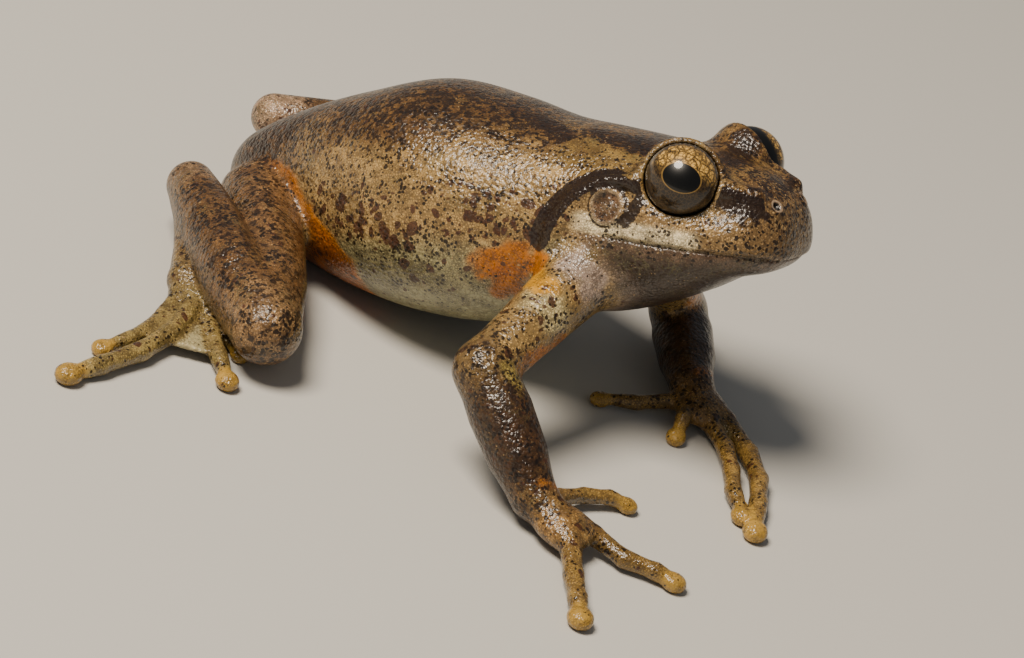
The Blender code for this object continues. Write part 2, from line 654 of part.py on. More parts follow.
def add_eye(side, sign, finish):
    """Add one eyeball, turned so that its pole looks out of the lids."""
    place = to_floor(np.array(EYE_PLACE) * (1.0, sign, 1.0))
    place = (place - np.array([BOX_CENTRE[0], BOX_CENTRE[1], 0.0])) / 1000.0
    bpy.ops.mesh.primitive_uv_sphere_add(
        segments=18, ring_count=12, radius=EYE_RADIUS / 1000, location=place)
    eye = bpy.context.object
    eye.name = f"eye_{side}"
    eye.data.materials.append(finish)
    eye.data.shade_smooth()
    return eye


def finish_for(name, finishes):
    """Return the material of a node by what it is."""
    if name == "head":
        return finishes["back"]
    if name == "torso":
        return finishes["flank"]
    if name.startswith(("finger", "toe", "hand", "foot")):
        return finishes["digit"]
    return finishes["limb"]


def main():
    """Model the whole frog."""
    for old in list(bpy.data.objects):
        bpy.data.objects.remove(old, do_unlink=True)
    finishes = {name: material(name) for name in COLOURS}
    cutter = floor_cutter()
    for name in NODES:
        add_node(name, finish_for(name, finishes), cutter)
    add_eye("left", 1.0, finishes["eye"])
    add_eye("right", -1.0, finishes["eye"])


main()
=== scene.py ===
"""The looks of a life-size northern heath frog: one moist skin over the whole body, and two eyes.

Sizes are in millimetres. Places on the limbs are measured from the floor below the right eye:
x forward along the floor, y to the frog's left, z up. Places on the trunk and head are in the
body's own axes: x forward from the vent, y left, z up from eye level. The skin is one closed
mesh on the surface of a distance function, which joins the named masses and limbs with fillets.
"""

from __future__ import annotations

import json
import logging
import math
from dataclasses import dataclass, field
from enum import Enum

import bpy
import numpy as np
from mathutils import Matrix, Vector

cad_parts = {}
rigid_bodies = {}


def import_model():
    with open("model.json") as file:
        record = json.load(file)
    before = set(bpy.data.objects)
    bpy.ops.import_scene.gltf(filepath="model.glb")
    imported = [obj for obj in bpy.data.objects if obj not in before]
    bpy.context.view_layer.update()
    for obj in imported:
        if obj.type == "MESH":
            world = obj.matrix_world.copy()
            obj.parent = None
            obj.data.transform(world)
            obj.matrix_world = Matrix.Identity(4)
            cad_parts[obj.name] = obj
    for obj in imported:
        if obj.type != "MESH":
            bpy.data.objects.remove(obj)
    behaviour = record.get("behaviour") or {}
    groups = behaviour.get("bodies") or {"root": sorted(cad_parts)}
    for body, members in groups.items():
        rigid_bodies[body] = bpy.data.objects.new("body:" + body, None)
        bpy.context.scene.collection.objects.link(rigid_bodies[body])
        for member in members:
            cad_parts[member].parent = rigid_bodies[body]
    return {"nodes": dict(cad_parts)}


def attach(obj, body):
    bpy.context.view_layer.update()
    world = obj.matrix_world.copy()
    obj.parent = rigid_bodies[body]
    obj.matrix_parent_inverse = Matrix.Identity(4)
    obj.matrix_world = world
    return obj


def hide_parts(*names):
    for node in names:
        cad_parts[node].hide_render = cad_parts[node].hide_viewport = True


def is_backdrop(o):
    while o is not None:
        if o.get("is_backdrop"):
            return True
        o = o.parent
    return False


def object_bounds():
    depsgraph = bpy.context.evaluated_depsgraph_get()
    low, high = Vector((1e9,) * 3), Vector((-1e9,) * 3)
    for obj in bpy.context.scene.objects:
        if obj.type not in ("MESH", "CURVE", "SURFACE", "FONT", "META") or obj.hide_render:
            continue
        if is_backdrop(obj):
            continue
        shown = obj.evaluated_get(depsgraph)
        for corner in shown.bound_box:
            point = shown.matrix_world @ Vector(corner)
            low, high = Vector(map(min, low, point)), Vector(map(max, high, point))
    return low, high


LOG = logging.getLogger("heath_frog")
MM = 0.001
PER_METRE = 1000.0  # divided by a size in millimetres, it gives a pattern's scale
FAR = 6.0  # what a distant part counts as, in the blending
WAVE_COUNT = 9  # how many sine waves make up one uneven swell
Spot = tuple[float, float, float]


def unit(vector: np.ndarray | Spot) -> np.ndarray:
    """Return the vector at length one."""
    vector = np.asarray(vector, float)
    return vector / np.linalg.norm(vector)


def linear(hex_colour: str) -> tuple[float, float, float]:
    """Turn an sRGB hex colour to linear light.

    Args:
        hex_colour: six hex digits, such as "c08a4a".

    Returns:
        Red, green and blue from 0 to 1.
    """
    values = [int(hex_colour[i:i + 2], 16) / 255 for i in (0, 2, 4)]
    return tuple(v / 12.92 if v <= 0.04045 else ((v + 0.055) / 1.055) ** 2.4 for v in values)


def blend(a: np.ndarray, b: np.ndarray, radius: float) -> np.ndarray:
    """Join two distances as one skin, with a fillet of about the given radius."""
    share = np.clip(0.5 + 0.5 * (b - a) / radius, 0.0, 1.0)
    return b + (a - b) * share - radius * share * (1.0 - share)


def carve(a: np.ndarray, b: np.ndarray, radius: float) -> np.ndarray:
    """Keep what lies in both a and b, with a rounded edge."""
    return -blend(-a, -b, radius)


def step(value: np.ndarray, low: float, high: float) -> np.ndarray:
    """Rise smoothly from 0 at low to 1 at high, or fall where low is above high."""
    t = np.clip((value - low) / (high - low), 0.0, 1.0)
    return t * t * (3.0 - 2.0 * t)


def tube(points: np.ndarray, spine: np.ndarray, radii: tuple[float, ...]) -> np.ndarray:
    """Distance to a tapering limb.

    Args:
        points: places to measure at.
        spine: the run of places that the limb follows.
        radii: its radius at each of them.

    Returns:
        The distance at each point, below 0 inside.
    """
    spine = np.asarray(spine, float)
    best = np.full(len(points), np.inf)
    for a, b, ra, rb in zip(spine, spine[1:], radii, radii[1:]):
        axis = b - a
        along = np.clip((points - a) @ axis / (axis @ axis), 0.0, 1.0)
        off = points - a - along[:, None] * axis
        best = np.minimum(best, np.sqrt((off * off).sum(1)) - ra - (rb - ra) * along)
    return best


def near_ring(gap: np.ndarray, radius: float, width: float) -> np.ndarray:
    """Cover a soft ring at a radius, in distances from its centre."""
    return np.exp(-((gap - radius) / width) ** 2)


def ellipsoid(points: np.ndarray, centre: np.ndarray | Spot, radii: Spot,
              axes: tuple[np.ndarray, ...] | None = None) -> np.ndarray:
    """Distance, close to the surface, to an ellipsoid with its own axes.

    Args:
        points: places to measure at.
        centre: the ellipsoid's centre.
        radii: its half sizes.
        axes: its own three directions, or none where they are the frame's.

    Returns:
        The distance at each point, below 0 inside.
    """
    off = points - np.asarray(centre, float)
    if axes is not None:
        off = off @ np.asarray(axes).T
    size = np.asarray(radii, float)
    near = np.sqrt(((off / size) ** 2).sum(1)) + 1e-9
    steep = np.sqrt(((off / size ** 2) ** 2).sum(1)) + 1e-9
    return near * (near - 1.0) / steep


def sheet(points: np.ndarray, corners: tuple[np.ndarray, ...]) -> np.ndarray:
    """Distance to a flat triangle.

    Args:
        points: places to measure at.
        corners: the triangle's three corners.

    Returns:
        The distance at each point.
    """
    corners = [np.asarray(corner, float) for corner in corners]
    normal = unit(np.cross(corners[1] - corners[0], corners[2] - corners[0]))
    inside = np.ones(len(points), bool)
    best = np.full(len(points), np.inf)
    for start, end in zip(corners, corners[1:] + corners[:1]):
        edge, off = end - start, points - start
        inside &= off @ np.cross(normal, edge) > 0
        along = np.clip(off @ edge / (edge @ edge), 0.0, 1.0)
        best = np.minimum(best, np.linalg.norm(off - along[:, None] * edge, axis=1))
    return np.where(inside, np.abs((points - corners[0]) @ normal), best)


def along_spine(spine: tuple[Spot, ...], share: float) -> np.ndarray:
    """Return the place at a share of a spine's length.

    Args:
        spine: the run of places.
        share: how far along it, from 0 to 1.

    Returns:
        The place.
    """
    places = np.asarray(spine, float)
    steps = np.linalg.norm(np.diff(places, axis=0), axis=1)
    target = share * steps.sum()
    for start, end, length in zip(places, places[1:], steps):
        if target <= length:
            return start + (end - start) * target / length
        target -= length
    return places[-1]


def waves(points: np.ndarray, size: float, seed: int) -> np.ndarray:
    """Return smooth, uneven swells of about the given size, from -1 to 1.

    Args:
        points: places to look at.
        size: the swells' size.
        seed: what sets their draw.

    Returns:
        The swell at each point.
    """
    draw = np.random.default_rng(seed)
    total = np.zeros(len(points))
    for _ in range(WAVE_COUNT):
        way = unit(draw.normal(size=3)) * draw.uniform(0.7, 1.5) * math.tau / size
        total += np.sin(points @ way + draw.uniform(0.0, math.tau))
    return total * 2 / WAVE_COUNT


@dataclass(frozen=True)
class Patch:
    """A patch of colour along a line, full within a width of it and fading beyond."""

    line: tuple[Spot, ...] | np.ndarray
    width: float
    soft: float

    def cover(self, points: np.ndarray, ragged: np.ndarray | float = 0.0) -> np.ndarray:
        """Cover what lies near the line.

        Args:
            points: places to look at.
            ragged: how much further out each point counts, to break up the edge.

        Returns:
            The cover of each point, from 0 to 1.
        """
        gap = tube(points, self.line, (0.0,) * len(self.line)) + ragged
        return 1.0 - step(gap, self.width, self.width + self.soft)


class Side(Enum):
    """The frog's own sides."""

    RIGHT = "right"
    LEFT = "left"

    @property
    def sign(self) -> float:
        """Return the sign of y on this side."""
        return 1.0 if self is Side.LEFT else -1.0


@dataclass(frozen=True)
class Stance:
    """How the body's own axes stand over the floor."""

    eye_height: float = 28.0
    pitch_deg: float = 25.0
    roll_deg: float = 8.0
    anchor: Spot = (53.5, -6.5, 0.0)
    box_centre: tuple[float, float] = (-16.83, 5.68)

    def axes(self) -> np.ndarray:
        """Return the body's forward, left and up directions on the floor's axes.

        Returns:
            The three directions, one in each row.
        """
        pitch, roll = math.radians(self.pitch_deg), math.radians(self.roll_deg)
        forward = np.array([math.cos(pitch), 0.0, math.sin(pitch)])
        level_up = np.array([-math.sin(pitch), 0.0, math.cos(pitch)])
        side = np.array([0.0, 1.0, 0.0])
        left = math.cos(roll) * side - math.sin(roll) * level_up
        up = math.cos(roll) * level_up + math.sin(roll) * side
        return np.array([forward, left, up])

    def to_body(self, points: np.ndarray) -> np.ndarray:
        """Turn places on the floor's axes into the body's own."""
        over = np.array([0.0, 0.0, self.eye_height])
        return (points - over) @ self.axes().T + np.array(self.anchor)

    def to_floor(self, place: np.ndarray | Spot) -> np.ndarray:
        """Turn a place in the body's axes into the floor's."""
        off = np.asarray(place, float) - np.array(self.anchor)
        return off @ self.axes() + np.array([0.0, 0.0, self.eye_height])

    def to_scene(self, places: np.ndarray) -> np.ndarray:
        """Turn places on the floor's axes into metres about the frame's origin."""
        return (places - np.array([*self.box_centre, 0.0])) * MM


STANCE = Stance()


@dataclass(frozen=True)
class Trunk:
    """The trunk and head: a loft through stations, with the face's features carved on."""

    # station, height of the back, of the widest line and of the belly, half width
    stations: tuple[tuple[str, float, float, float, float, float], ...] = (
        ("vent", 0.0, 1.4, -3.2, -6.6, 3.0),
        ("rump", 4.0, 3.4, -3.2, -7.6, 5.0),
        ("pelvis", 9.0, 5.2, -3.4, -9.6, 7.0),
        ("waist", 16.0, 7.0, -4.0, -12.2, 10.2),
        ("belly", 24.0, 8.2, -4.6, -14.1, 12.6),
        ("chest", 31.0, 6.7, -5.0, -14.6, 12.6),
        ("shoulder", 37.0, 4.9, -5.2, -13.6, 11.2),
        ("nape", 42.0, 4.1, -5.3, -13.2, 10.4),
        ("jaw", 47.0, 3.2, -5.8, -12.7, 10.5),
        ("eye", 52.0, 2.2, -6.2, -11.2, 9.6),
        ("bridge", 56.0, 0.8, -6.1, -9.6, 8.0),
        ("nose", 59.4, -0.9, -5.6, -9.2, 6.0),
        ("snout", 61.6, -2.0, -5.4, -9.1, 4.5),
    )
    cross_power: float = 2.3
    snout_end: float = 61.2
    snout_rounding: float = 3.4
    vent_end: float = -0.6
    vent_rounding: float = 3.6
    eye_place: Spot = (52.7, 7.0, 0.25)
    eye_radius: float = 3.4
    socket_gap: float = 0.05
    lid_thickness: float = 0.58
    lid_opening: float = -0.2
    lip_inset: float = 0.3
    lid_rounding: float = 0.35
    lid_fillet: float = 1.6
    socket_rounding: float = 0.12
    mouth_half_height: float = 0.2
    mouth_depth: float = 0.45
    mouth_corner: float = 43.6
    mouth_fade: float = 4.0
    jaw_edge: tuple[float, float] = (-0.5, 0.35)
    canthus: tuple[Spot, ...] = ((55.4, 6.0, -0.6), (58.8, 4.0, -1.4))
    canthus_radii: tuple[float, ...] = (0.95, 0.75)
    canthus_fillet: float = 1.1
    loreal_place: Spot = (57.6, 8.3, -2.4)
    loreal_radii: Spot = (2.6, 1.5, 1.1)
    loreal_rounding: float = 1.4
    ear_fold: tuple[Spot, ...] = (
        (49.0, 8.8, 0.3), (46.2, 9.2, 0.3), (43.2, 9.8, -1.2), (41.2, 10.7, -4.0), (40.6, 10.9, -6.0))
    ear_fold_radii: tuple[float, ...] = (0.35, 0.45, 0.6, 0.7, 0.3)
    ear_fold_fillet: float = 1.6
    ear_place: tuple[float, float] = (46.4, -2.0)
    ear_radius: float = 1.5
    ear_rim: float = 0.16
    ear_rim_width: float = 0.24
    ear_inner_side: float = 6.0
    moat_from_rim: float = 0.5
    moat_width: float = 0.3
    moat_depth: float = 0.14
    nostril_place: Spot = (60.3, 2.85, -2.4)
    nostril_radius: float = 0.42
    nostril_rim: float = 0.16
    nostril_rim_radius: float = 0.6
    nostril_rim_width: float = 0.22
    nostril_rounding: float = 0.15
    face_from: float = 38.0

    def sample(self, x: np.ndarray, column: int) -> np.ndarray:
        """Read one column of the stations at x, on a smooth curve through them.

        Args:
            x: places along the body.
            column: which value of the stations to read.

        Returns:
            The value at each place.
        """
        at = np.array([s[1] for s in self.stations])
        value = np.array([s[column] for s in self.stations])
        slope = np.gradient(value, at)
        x = np.clip(x, at[0], at[-1])
        i = np.clip(np.searchsorted(at, x) - 1, 0, len(at) - 2)
        length = at[i + 1] - at[i]
        t = (x - at[i]) / length
        rise = value[i + 1] - value[i]
        m0, m1 = slope[i] * length, slope[i + 1] * length
        return value[i] + t * (m0 + t * (3 * rise - 2 * m0 - m1 + t * (m0 + m1 - 2 * rise)))

    def plain(self, q: np.ndarray) -> np.ndarray:
        """Distance to the trunk and head without the face's features, in the body's axes.

        Args:
            q: places in the body's axes.

        Returns:
            The distance at each place.
        """
        x, y, z = q.T
        top, middle, bottom, half = (self.sample(x, column) for column in (2, 3, 4, 5))
        height = np.where(z > middle, top - middle, middle - bottom)
        across, up = np.abs(y), np.abs(z - middle)
        reach = np.sqrt(across ** 2 + up ** 2) + 1e-6
        power = self.cross_power
        ratio = ((across / half) ** power + (up / height) ** power) ** (1 / power) + 1e-6
        d = carve(reach - reach / ratio, x - self.snout_end, self.snout_rounding)
        return carve(d, self.vent_end - x, self.vent_rounding)

    def mouth_height(self, x: np.ndarray) -> np.ndarray:
        """Height of the mouth's line, which rises from the snout to its corner and dips in front."""
        return -7.1 + 0.165 * (61.0 - x) - 0.08 * np.clip(x - 57.8, 0.0, 3.4) ** 2

    def eye_direction(self) -> np.ndarray:
        """Return the way the left eye looks in the body's axes: out, a little forward and up."""
        return unit((0.44, 0.87, 0.2))

    def lids(self, skin: np.ndarray, from_eye: np.ndarray) -> np.ndarray:
        """Add the lids, each a thick shell cut open along the eye's look.

        Args:
            skin: the distance to the skin so far.
            from_eye: the way from the eye's centre to each place.

        Returns:
            The distance with the lids.
        """
        outer = self.eye_radius + self.socket_gap + self.lid_thickness
        lid = np.linalg.norm(from_eye, axis=1) - outer
        lid = carve(lid, from_eye @ self.eye_direction() - self.lid_opening, self.lid_rounding)
        return blend(skin, lid, self.lid_fillet)

    def cheek(self, skin: np.ndarray, side: np.ndarray) -> np.ndarray:
        """Add the ridge and the hollow before the eye, and the fold over the eardrum.

        Args:
            skin: the distance to the skin so far.
            side: places in the body's axes, all on the left.

        Returns:
            The distance with these forms.
        """
        skin = blend(skin, tube(side, self.canthus, self.canthus_radii), self.canthus_fillet)
        hollow = ellipsoid(side, self.loreal_place, self.loreal_radii)
        skin = carve(skin, -hollow, self.loreal_rounding)
        return blend(skin, tube(side, self.ear_fold, self.ear_fold_radii), self.ear_fold_fillet)

    def ear_and_nostril(self, skin: np.ndarray, side: np.ndarray) -> np.ndarray:
        """Add the eardrum's rim and moat, and the nostril with its rim.

        Args:
            skin: the distance to the skin so far.
            side: places in the body's axes, all on the left.

        Returns:
            The distance with these forms.
        """
        from_ear = np.hypot(side[:, 0] - self.ear_place[0], side[:, 2] - self.ear_place[1])
        outside = np.clip(side[:, 1] - self.ear_inner_side, 0.0, 1.0)
        rim = near_ring(from_ear, self.ear_radius, self.ear_rim_width)
        moat = near_ring(from_ear - self.ear_radius, self.moat_from_rim, self.moat_width)
        skin = skin - outside * (self.ear_rim * rim - self.moat_depth * moat)
        nostril = np.linalg.norm(side - self.nostril_place, axis=1)
        skin = skin - self.nostril_rim * near_ring(nostril, self.nostril_rim_radius, self.nostril_rim_width)
        return carve(skin, self.nostril_radius - nostril, self.nostril_rounding)

    def face(self, q: np.ndarray, skin: np.ndarray) -> np.ndarray:
        """Add the lids, canthus, lips, mouth, ears and nostrils to the head's plain skin.

        Args:
            q: places in the body's axes.
            skin: the distance to the plain skin at each of them.

        Returns:
            The distance to the finished face.
        """
        side = np.stack([q[:, 0], np.abs(q[:, 1]), q[:, 2]], 1)
        above_mouth = q[:, 2] - self.mouth_height(q[:, 0])
        ahead = np.clip((q[:, 0] - self.mouth_corner) / self.mouth_fade, 0.0, 1.0)
        from_eye = side - np.array(self.eye_place)
        skin = skin + self.lip_inset * (1.0 - step(above_mouth, *self.jaw_edge)) * ahead
        skin = self.cheek(self.lids(skin, from_eye), side)
        skin = self.ear_and_nostril(skin, side)
        skin = skin + self.mouth_depth * ahead * near_ring(above_mouth, 0.0, self.mouth_half_height)
        socket = self.eye_radius + self.socket_gap - np.linalg.norm(from_eye, axis=1)
        return carve(skin, socket, self.socket_rounding)

    def distance(self, points: np.ndarray) -> np.ndarray:
        """Distance to the trunk and head.

        Args:
            points: places on the floor's axes.

        Returns:
            The distance at each point.
        """
        q = STANCE.to_body(points)
        skin = self.plain(q)
        ahead = q[:, 0] > self.face_from
        if ahead.any():
            skin[ahead] = self.face(q[ahead], skin[ahead])
        return skin


@dataclass(frozen=True)
class Digit:
    """A finger or toe: a tapering tube with a flat disc at its end."""

    spine: tuple[Spot, ...]
    radius: float
    taper: float = 0.86
    disc_wider: float = 1.26
    disc_flatness: float = 0.76
    joint: float = 1.03
    waist: float = 0.91
    neck: float = 0.78
    root_wider: float = 1.05
    bulges: tuple[float, float] = (0.35, 0.72)
    bulge: float = 0.98
    tip: float = 0.7
    disc_longer: float = 1.1
    disc_rise: float = 0.9
    disc_tilt: float = 0.6
    disc_fillet: float = 0.25

    def distance(self, points: np.ndarray) -> np.ndarray:
        """Distance to the digit, a little swollen at each joint and waisted before its disc.

        Args:
            points: places to measure at.

        Returns:
            The distance at each point.
        """
        count = len(self.spine)
        spine = [np.asarray(self.spine[0], float)]
        radii = [self.radius * self.root_wider]
        for i, (start, end) in enumerate(zip(self.spine, self.spine[1:])):
            a, b = np.asarray(start, float), np.asarray(end, float)
            here = self.radius * (1.0 - (1.0 - self.taper) * i / (count - 1))
            last = i == count - 2
            spine += [a + (b - a) * self.bulges[0], a + (b - a) * self.bulges[1], b]
            narrow, end_share = (self.neck, self.tip) if last else (self.waist, self.joint)
            radii += [here * self.bulge, here * narrow, here * end_share]
        d = tube(points, spine, radii)
        return blend(d, self.disc(points), self.disc_fillet)

    def disc(self, points: np.ndarray) -> np.ndarray:
        """Distance to the disc at the digit's end, which rests on the floor.

        Args:
            points: places to measure at.

        Returns:
            The distance at each point.
        """
        wide = self.radius * self.disc_wider
        high = wide * self.disc_flatness
        tip, before = np.asarray(self.spine[-1], float), np.asarray(self.spine[-2], float)
        tip = np.array([tip[0], tip[1], self.disc_rise * high])
        forward = unit((tip - before) * (1.0, 1.0, self.disc_tilt))
        across = unit(np.cross((0.0, 0.0, 1.0), forward))
        axes = (forward, across, np.cross(forward, across))
        return ellipsoid(points, tip, (wide * self.disc_longer, wide, high), axes)


@dataclass(frozen=True)
class Arm:
    """An arm with its hand, from the shoulder to the discs of the fingers."""

    shoulder: Spot
    elbow: Spot
    wrist: Spot
    palm: Spot
    fingers: tuple[tuple[Spot, ...], ...]
    upper_radii: tuple[float, ...] = (3.4, 3.1, 2.8, 2.7)
    fore_radii: tuple[float, ...] = (2.7, 3.0, 2.8, 2.1)
    finger_radii: tuple[float, ...] = (0.76, 0.78, 0.9, 0.98)
    palm_radii: Spot = (3.0, 2.6, 1.6)
    wrist_radii: tuple[float, float] = (1.9, 1.6)
    wrist_fillet: float = 0.8
    root_wider: tuple[float, float] = (1.3, 1.05)
    root_fillet: float = 0.7

    def digits(self) -> list[Digit]:
        """Return the fingers."""
        return [Digit(spine, radius) for spine, radius in zip(self.fingers, self.finger_radii)]

    def inner_edge(self) -> Patch:
        """Return the patch along the lower front edge of the upper arm."""
        start = (np.asarray(self.shoulder) + np.asarray(self.elbow)) / 2 + (2.9, 0.2, -0.6)
        return Patch(run(start, self.elbow + np.array([2.4, 1.2, 0.8])), 0.6, 0.9)

    def crook(self) -> Patch:
        """Return the short patch over the inner bend of the elbow."""
        return Patch(np.asarray(self.elbow) + np.array([(2.5, -0.7, 1.7), (3.8, -0.5, 0.6)]), 0.5, 0.8)

    def finger_web(self) -> Patch:
        """Return the short patch over the web between the roots of the outer fingers.

        Returns:
            The patch.
        """
        roots = np.asarray([self.fingers[2][0], self.fingers[3][0]]).mean(0)
        ends = np.asarray([self.fingers[2][1], self.fingers[3][1]]).mean(0)
        return Patch(np.array([roots + (ends - roots) * share for share in (0.3, 0.5)]), 0.3, 0.5)

    def wrist_spot(self) -> Patch:
        """Return the short patch over the front of the wrist."""
        return Patch(np.asarray(self.wrist) + np.array([(0.4, -0.6, 1.8), (1.2, 0.8, 1.2)]), 0.3, 0.6)

    def upper(self, points: np.ndarray) -> np.ndarray:
        """Distance to the upper arm."""
        return tube(points, run(self.shoulder, self.elbow), self.upper_radii)

    def fore(self, points: np.ndarray) -> np.ndarray:
        """Distance to the forearm."""
        return tube(points, run(self.elbow, self.wrist), self.fore_radii)

    def hand(self, points: np.ndarray) -> np.ndarray:
        """Distance to the palm and the roots of its fingers.

        Args:
            points: places to measure at.

        Returns:
            The distance at each point.
        """
        palm, wrist = np.asarray(self.palm), np.asarray(self.wrist)
        forward = unit((palm - wrist) * (1.0, 1.0, 0.0))
        across = np.cross((0.0, 0.0, 1.0), forward)
        d = ellipsoid(points, palm, self.palm_radii, (forward, across, np.array([0.0, 0.0, 1.0])))
        d = blend(d, tube(points, (wrist, palm), self.wrist_radii), self.wrist_fillet)
        for spine, radius in zip(self.fingers, self.finger_radii):
            radii = tuple(radius * wider for wider in self.root_wider)
            d = blend(d, tube(points, ((wrist + palm) / 2, spine[0]), radii), self.root_fillet)
        return d


@dataclass(frozen=True)
class Leg:
    """A folded hind leg, from the hip to the discs of the toes."""

    hip: Spot
    knee: Spot
    heel: Spot
    ankle: Spot
    toes: tuple[tuple[Spot, ...], ...]
    thigh_radii: tuple[float, ...] = (4.2, 4.2, 4.1, 3.3)
    shank_radii: tuple[float, ...] = (3.3, 4.0, 3.5, 2.4)
    tarsus_radii: tuple[float, ...] = (2.0, 1.45, 1.3, 1.6)
    toe_radii: tuple[float, ...] = (0.68, 0.72, 0.9, 1.0, 0.8)
    fold_depth: float = 0.55
    fold_width: float = 0.8
    web_thickness: float = 0.5
    fold_fade: tuple[float, float] = (4.0, 8.0)
    bone_radius: float = 1.5
    bone_wider: float = 1.06
    bone_fillet: float = 0.35
    web_near: tuple[float, ...] = (0.60, 0.60, 0.66, 0.36)
    web_far: tuple[float, ...] = (0.5, 0.42, 0.36, 0.6)

    def digits(self) -> list[Digit]:
        """Return the toes."""
        return [Digit(spine, radius) for spine, radius in zip(self.toes, self.toe_radii)]

    def edge(self, side: Side) -> Patch:
        """Return the patch along the thigh's upper front edge."""
        off = np.array([4.1, -0.3 * side.sign, 0.9])
        return Patch(run(self.hip, self.knee) + off, 0.7, 1.1)

    def thigh(self, points: np.ndarray) -> np.ndarray:
        """Distance to the thigh."""
        return tube(points, run(self.hip, self.knee), self.thigh_radii)

    def shank(self, points: np.ndarray) -> np.ndarray:
        """Distance to the shank."""
        return tube(points, run(self.knee, self.heel), self.shank_radii)

    def fold(self, points: np.ndarray, thigh: np.ndarray, shank: np.ndarray) -> np.ndarray:
        """Return the depth of the crease where shank and thigh press together, none at the knee."""
        away = np.linalg.norm(points - np.array(self.knee), axis=1)
        return self.fold_depth * step(away, *self.fold_fade) * near_ring(thigh - shank, 0.0, self.fold_width)

    def tarsus(self, points: np.ndarray) -> np.ndarray:
        """Distance to the tarsus."""
        return tube(points, run(self.heel, self.ankle), self.tarsus_radii)

    def web(self, points: np.ndarray) -> np.ndarray:
        """Distance to the web between the toes.

        Args:
            points: places to measure at.

        Returns:
            The distance at each point.
        """
        best = np.full(len(points), np.inf)
        for i, (near, far) in enumerate(zip(self.toes, self.toes[1:])):
            a, b = along_spine(near, self.web_near[i]), along_spine(far, self.web_far[i])
            centre = (np.asarray(near[0]) + np.asarray(far[0])) / 2
            best = np.minimum(best, sheet(points, (np.asarray(self.ankle), a, b)))
            best = np.minimum(best, sheet(points, (centre, a, b)))
        return best - self.web_thickness / 2

    def foot(self, points: np.ndarray) -> np.ndarray:
        """Distance to the metatarsals and the web.

        Args:
            points: places to measure at.

        Returns:
            The distance at each point.
        """
        d = np.full(len(points), FAR)
        for spine, radius in zip(self.toes, self.toe_radii):
            bone = tube(points, (self.ankle, spine[0]), (self.bone_radius, radius * self.bone_wider))
            d = blend(d, bone, self.bone_fillet)
        return blend(d, self.web(points), self.bone_fillet)

    def off_bones(self, places: np.ndarray) -> np.ndarray:
        """Return how far places are outside the thin runs from the ankle along each toe."""
        gaps = [tube(places, (self.ankle, *toe), (1.0,) * (len(toe) + 1)) for toe in self.toes]
        return np.min(gaps, axis=0)


def run(start: Spot, end: Spot, count: int = 3) -> np.ndarray:
    """Return the places that cut a straight run into count steps."""
    a, b = np.asarray(start, float), np.asarray(end, float)
    return np.array([a + (b - a) * i / count for i in range(count + 1)])


TRUNK = Trunk()
ARMS = {
    Side.RIGHT: Arm(
        shoulder=(-6.0, -3.2, 15.9), elbow=(-6.9, -17.3, 10.2), wrist=(2.7, -20.4, 2.9),
        palm=(6.5, -21.0, 2.0),
        fingers=(
            ((2.3, -17.3, 1.7), (0.6, -14.6, 1.2), (-0.9, -12.3, 0.8)),
            ((3.5, -16.4, 1.7), (4.6, -13.3, 1.3), (6.3, -11.2, 1.2), (7.8, -10.1, 0.8)),
            ((8.8, -19.2, 1.7), (12.3, -19.4, 1.2), (15.2, -18.5, 1.1), (17.0, -18.1, 0.8)),
            ((8.4, -22.9, 1.7), (10.6, -26.0, 1.2), (12.6, -28.8, 1.1), (14.2, -31.0, 0.8)),
        ),
    ),
    Side.LEFT: Arm(
        shoulder=(-5.8, 13.8, 13.8), elbow=(-4.6, 21.8, 4.4), wrist=(2.3, 12.4, 2.9),
        palm=(4.3, 10.9, 2.0),
        fingers=(
            ((2.2, 10.0, 1.7), (-0.4, 7.0, 1.2), (-3.4, 5.1, 0.8)),
            ((3.9, 9.2, 1.9), (4.4, 7.4, 1.9), (4.9, 5.6, 0.8)),
            ((6.3, 9.6, 1.7), (9.4, 7.2, 1.3), (11.6, 4.2, 1.2), (13.4, 1.1, 1.1), (16.0, -1.8, 0.8)),
            ((7.2, 11.2, 1.7), (11.3, 8.6, 1.2), (14.2, 5.2, 1.1), (16.1, 1.2, 1.1), (18.1, -3.3, 0.8)),
        ),
    ),
}
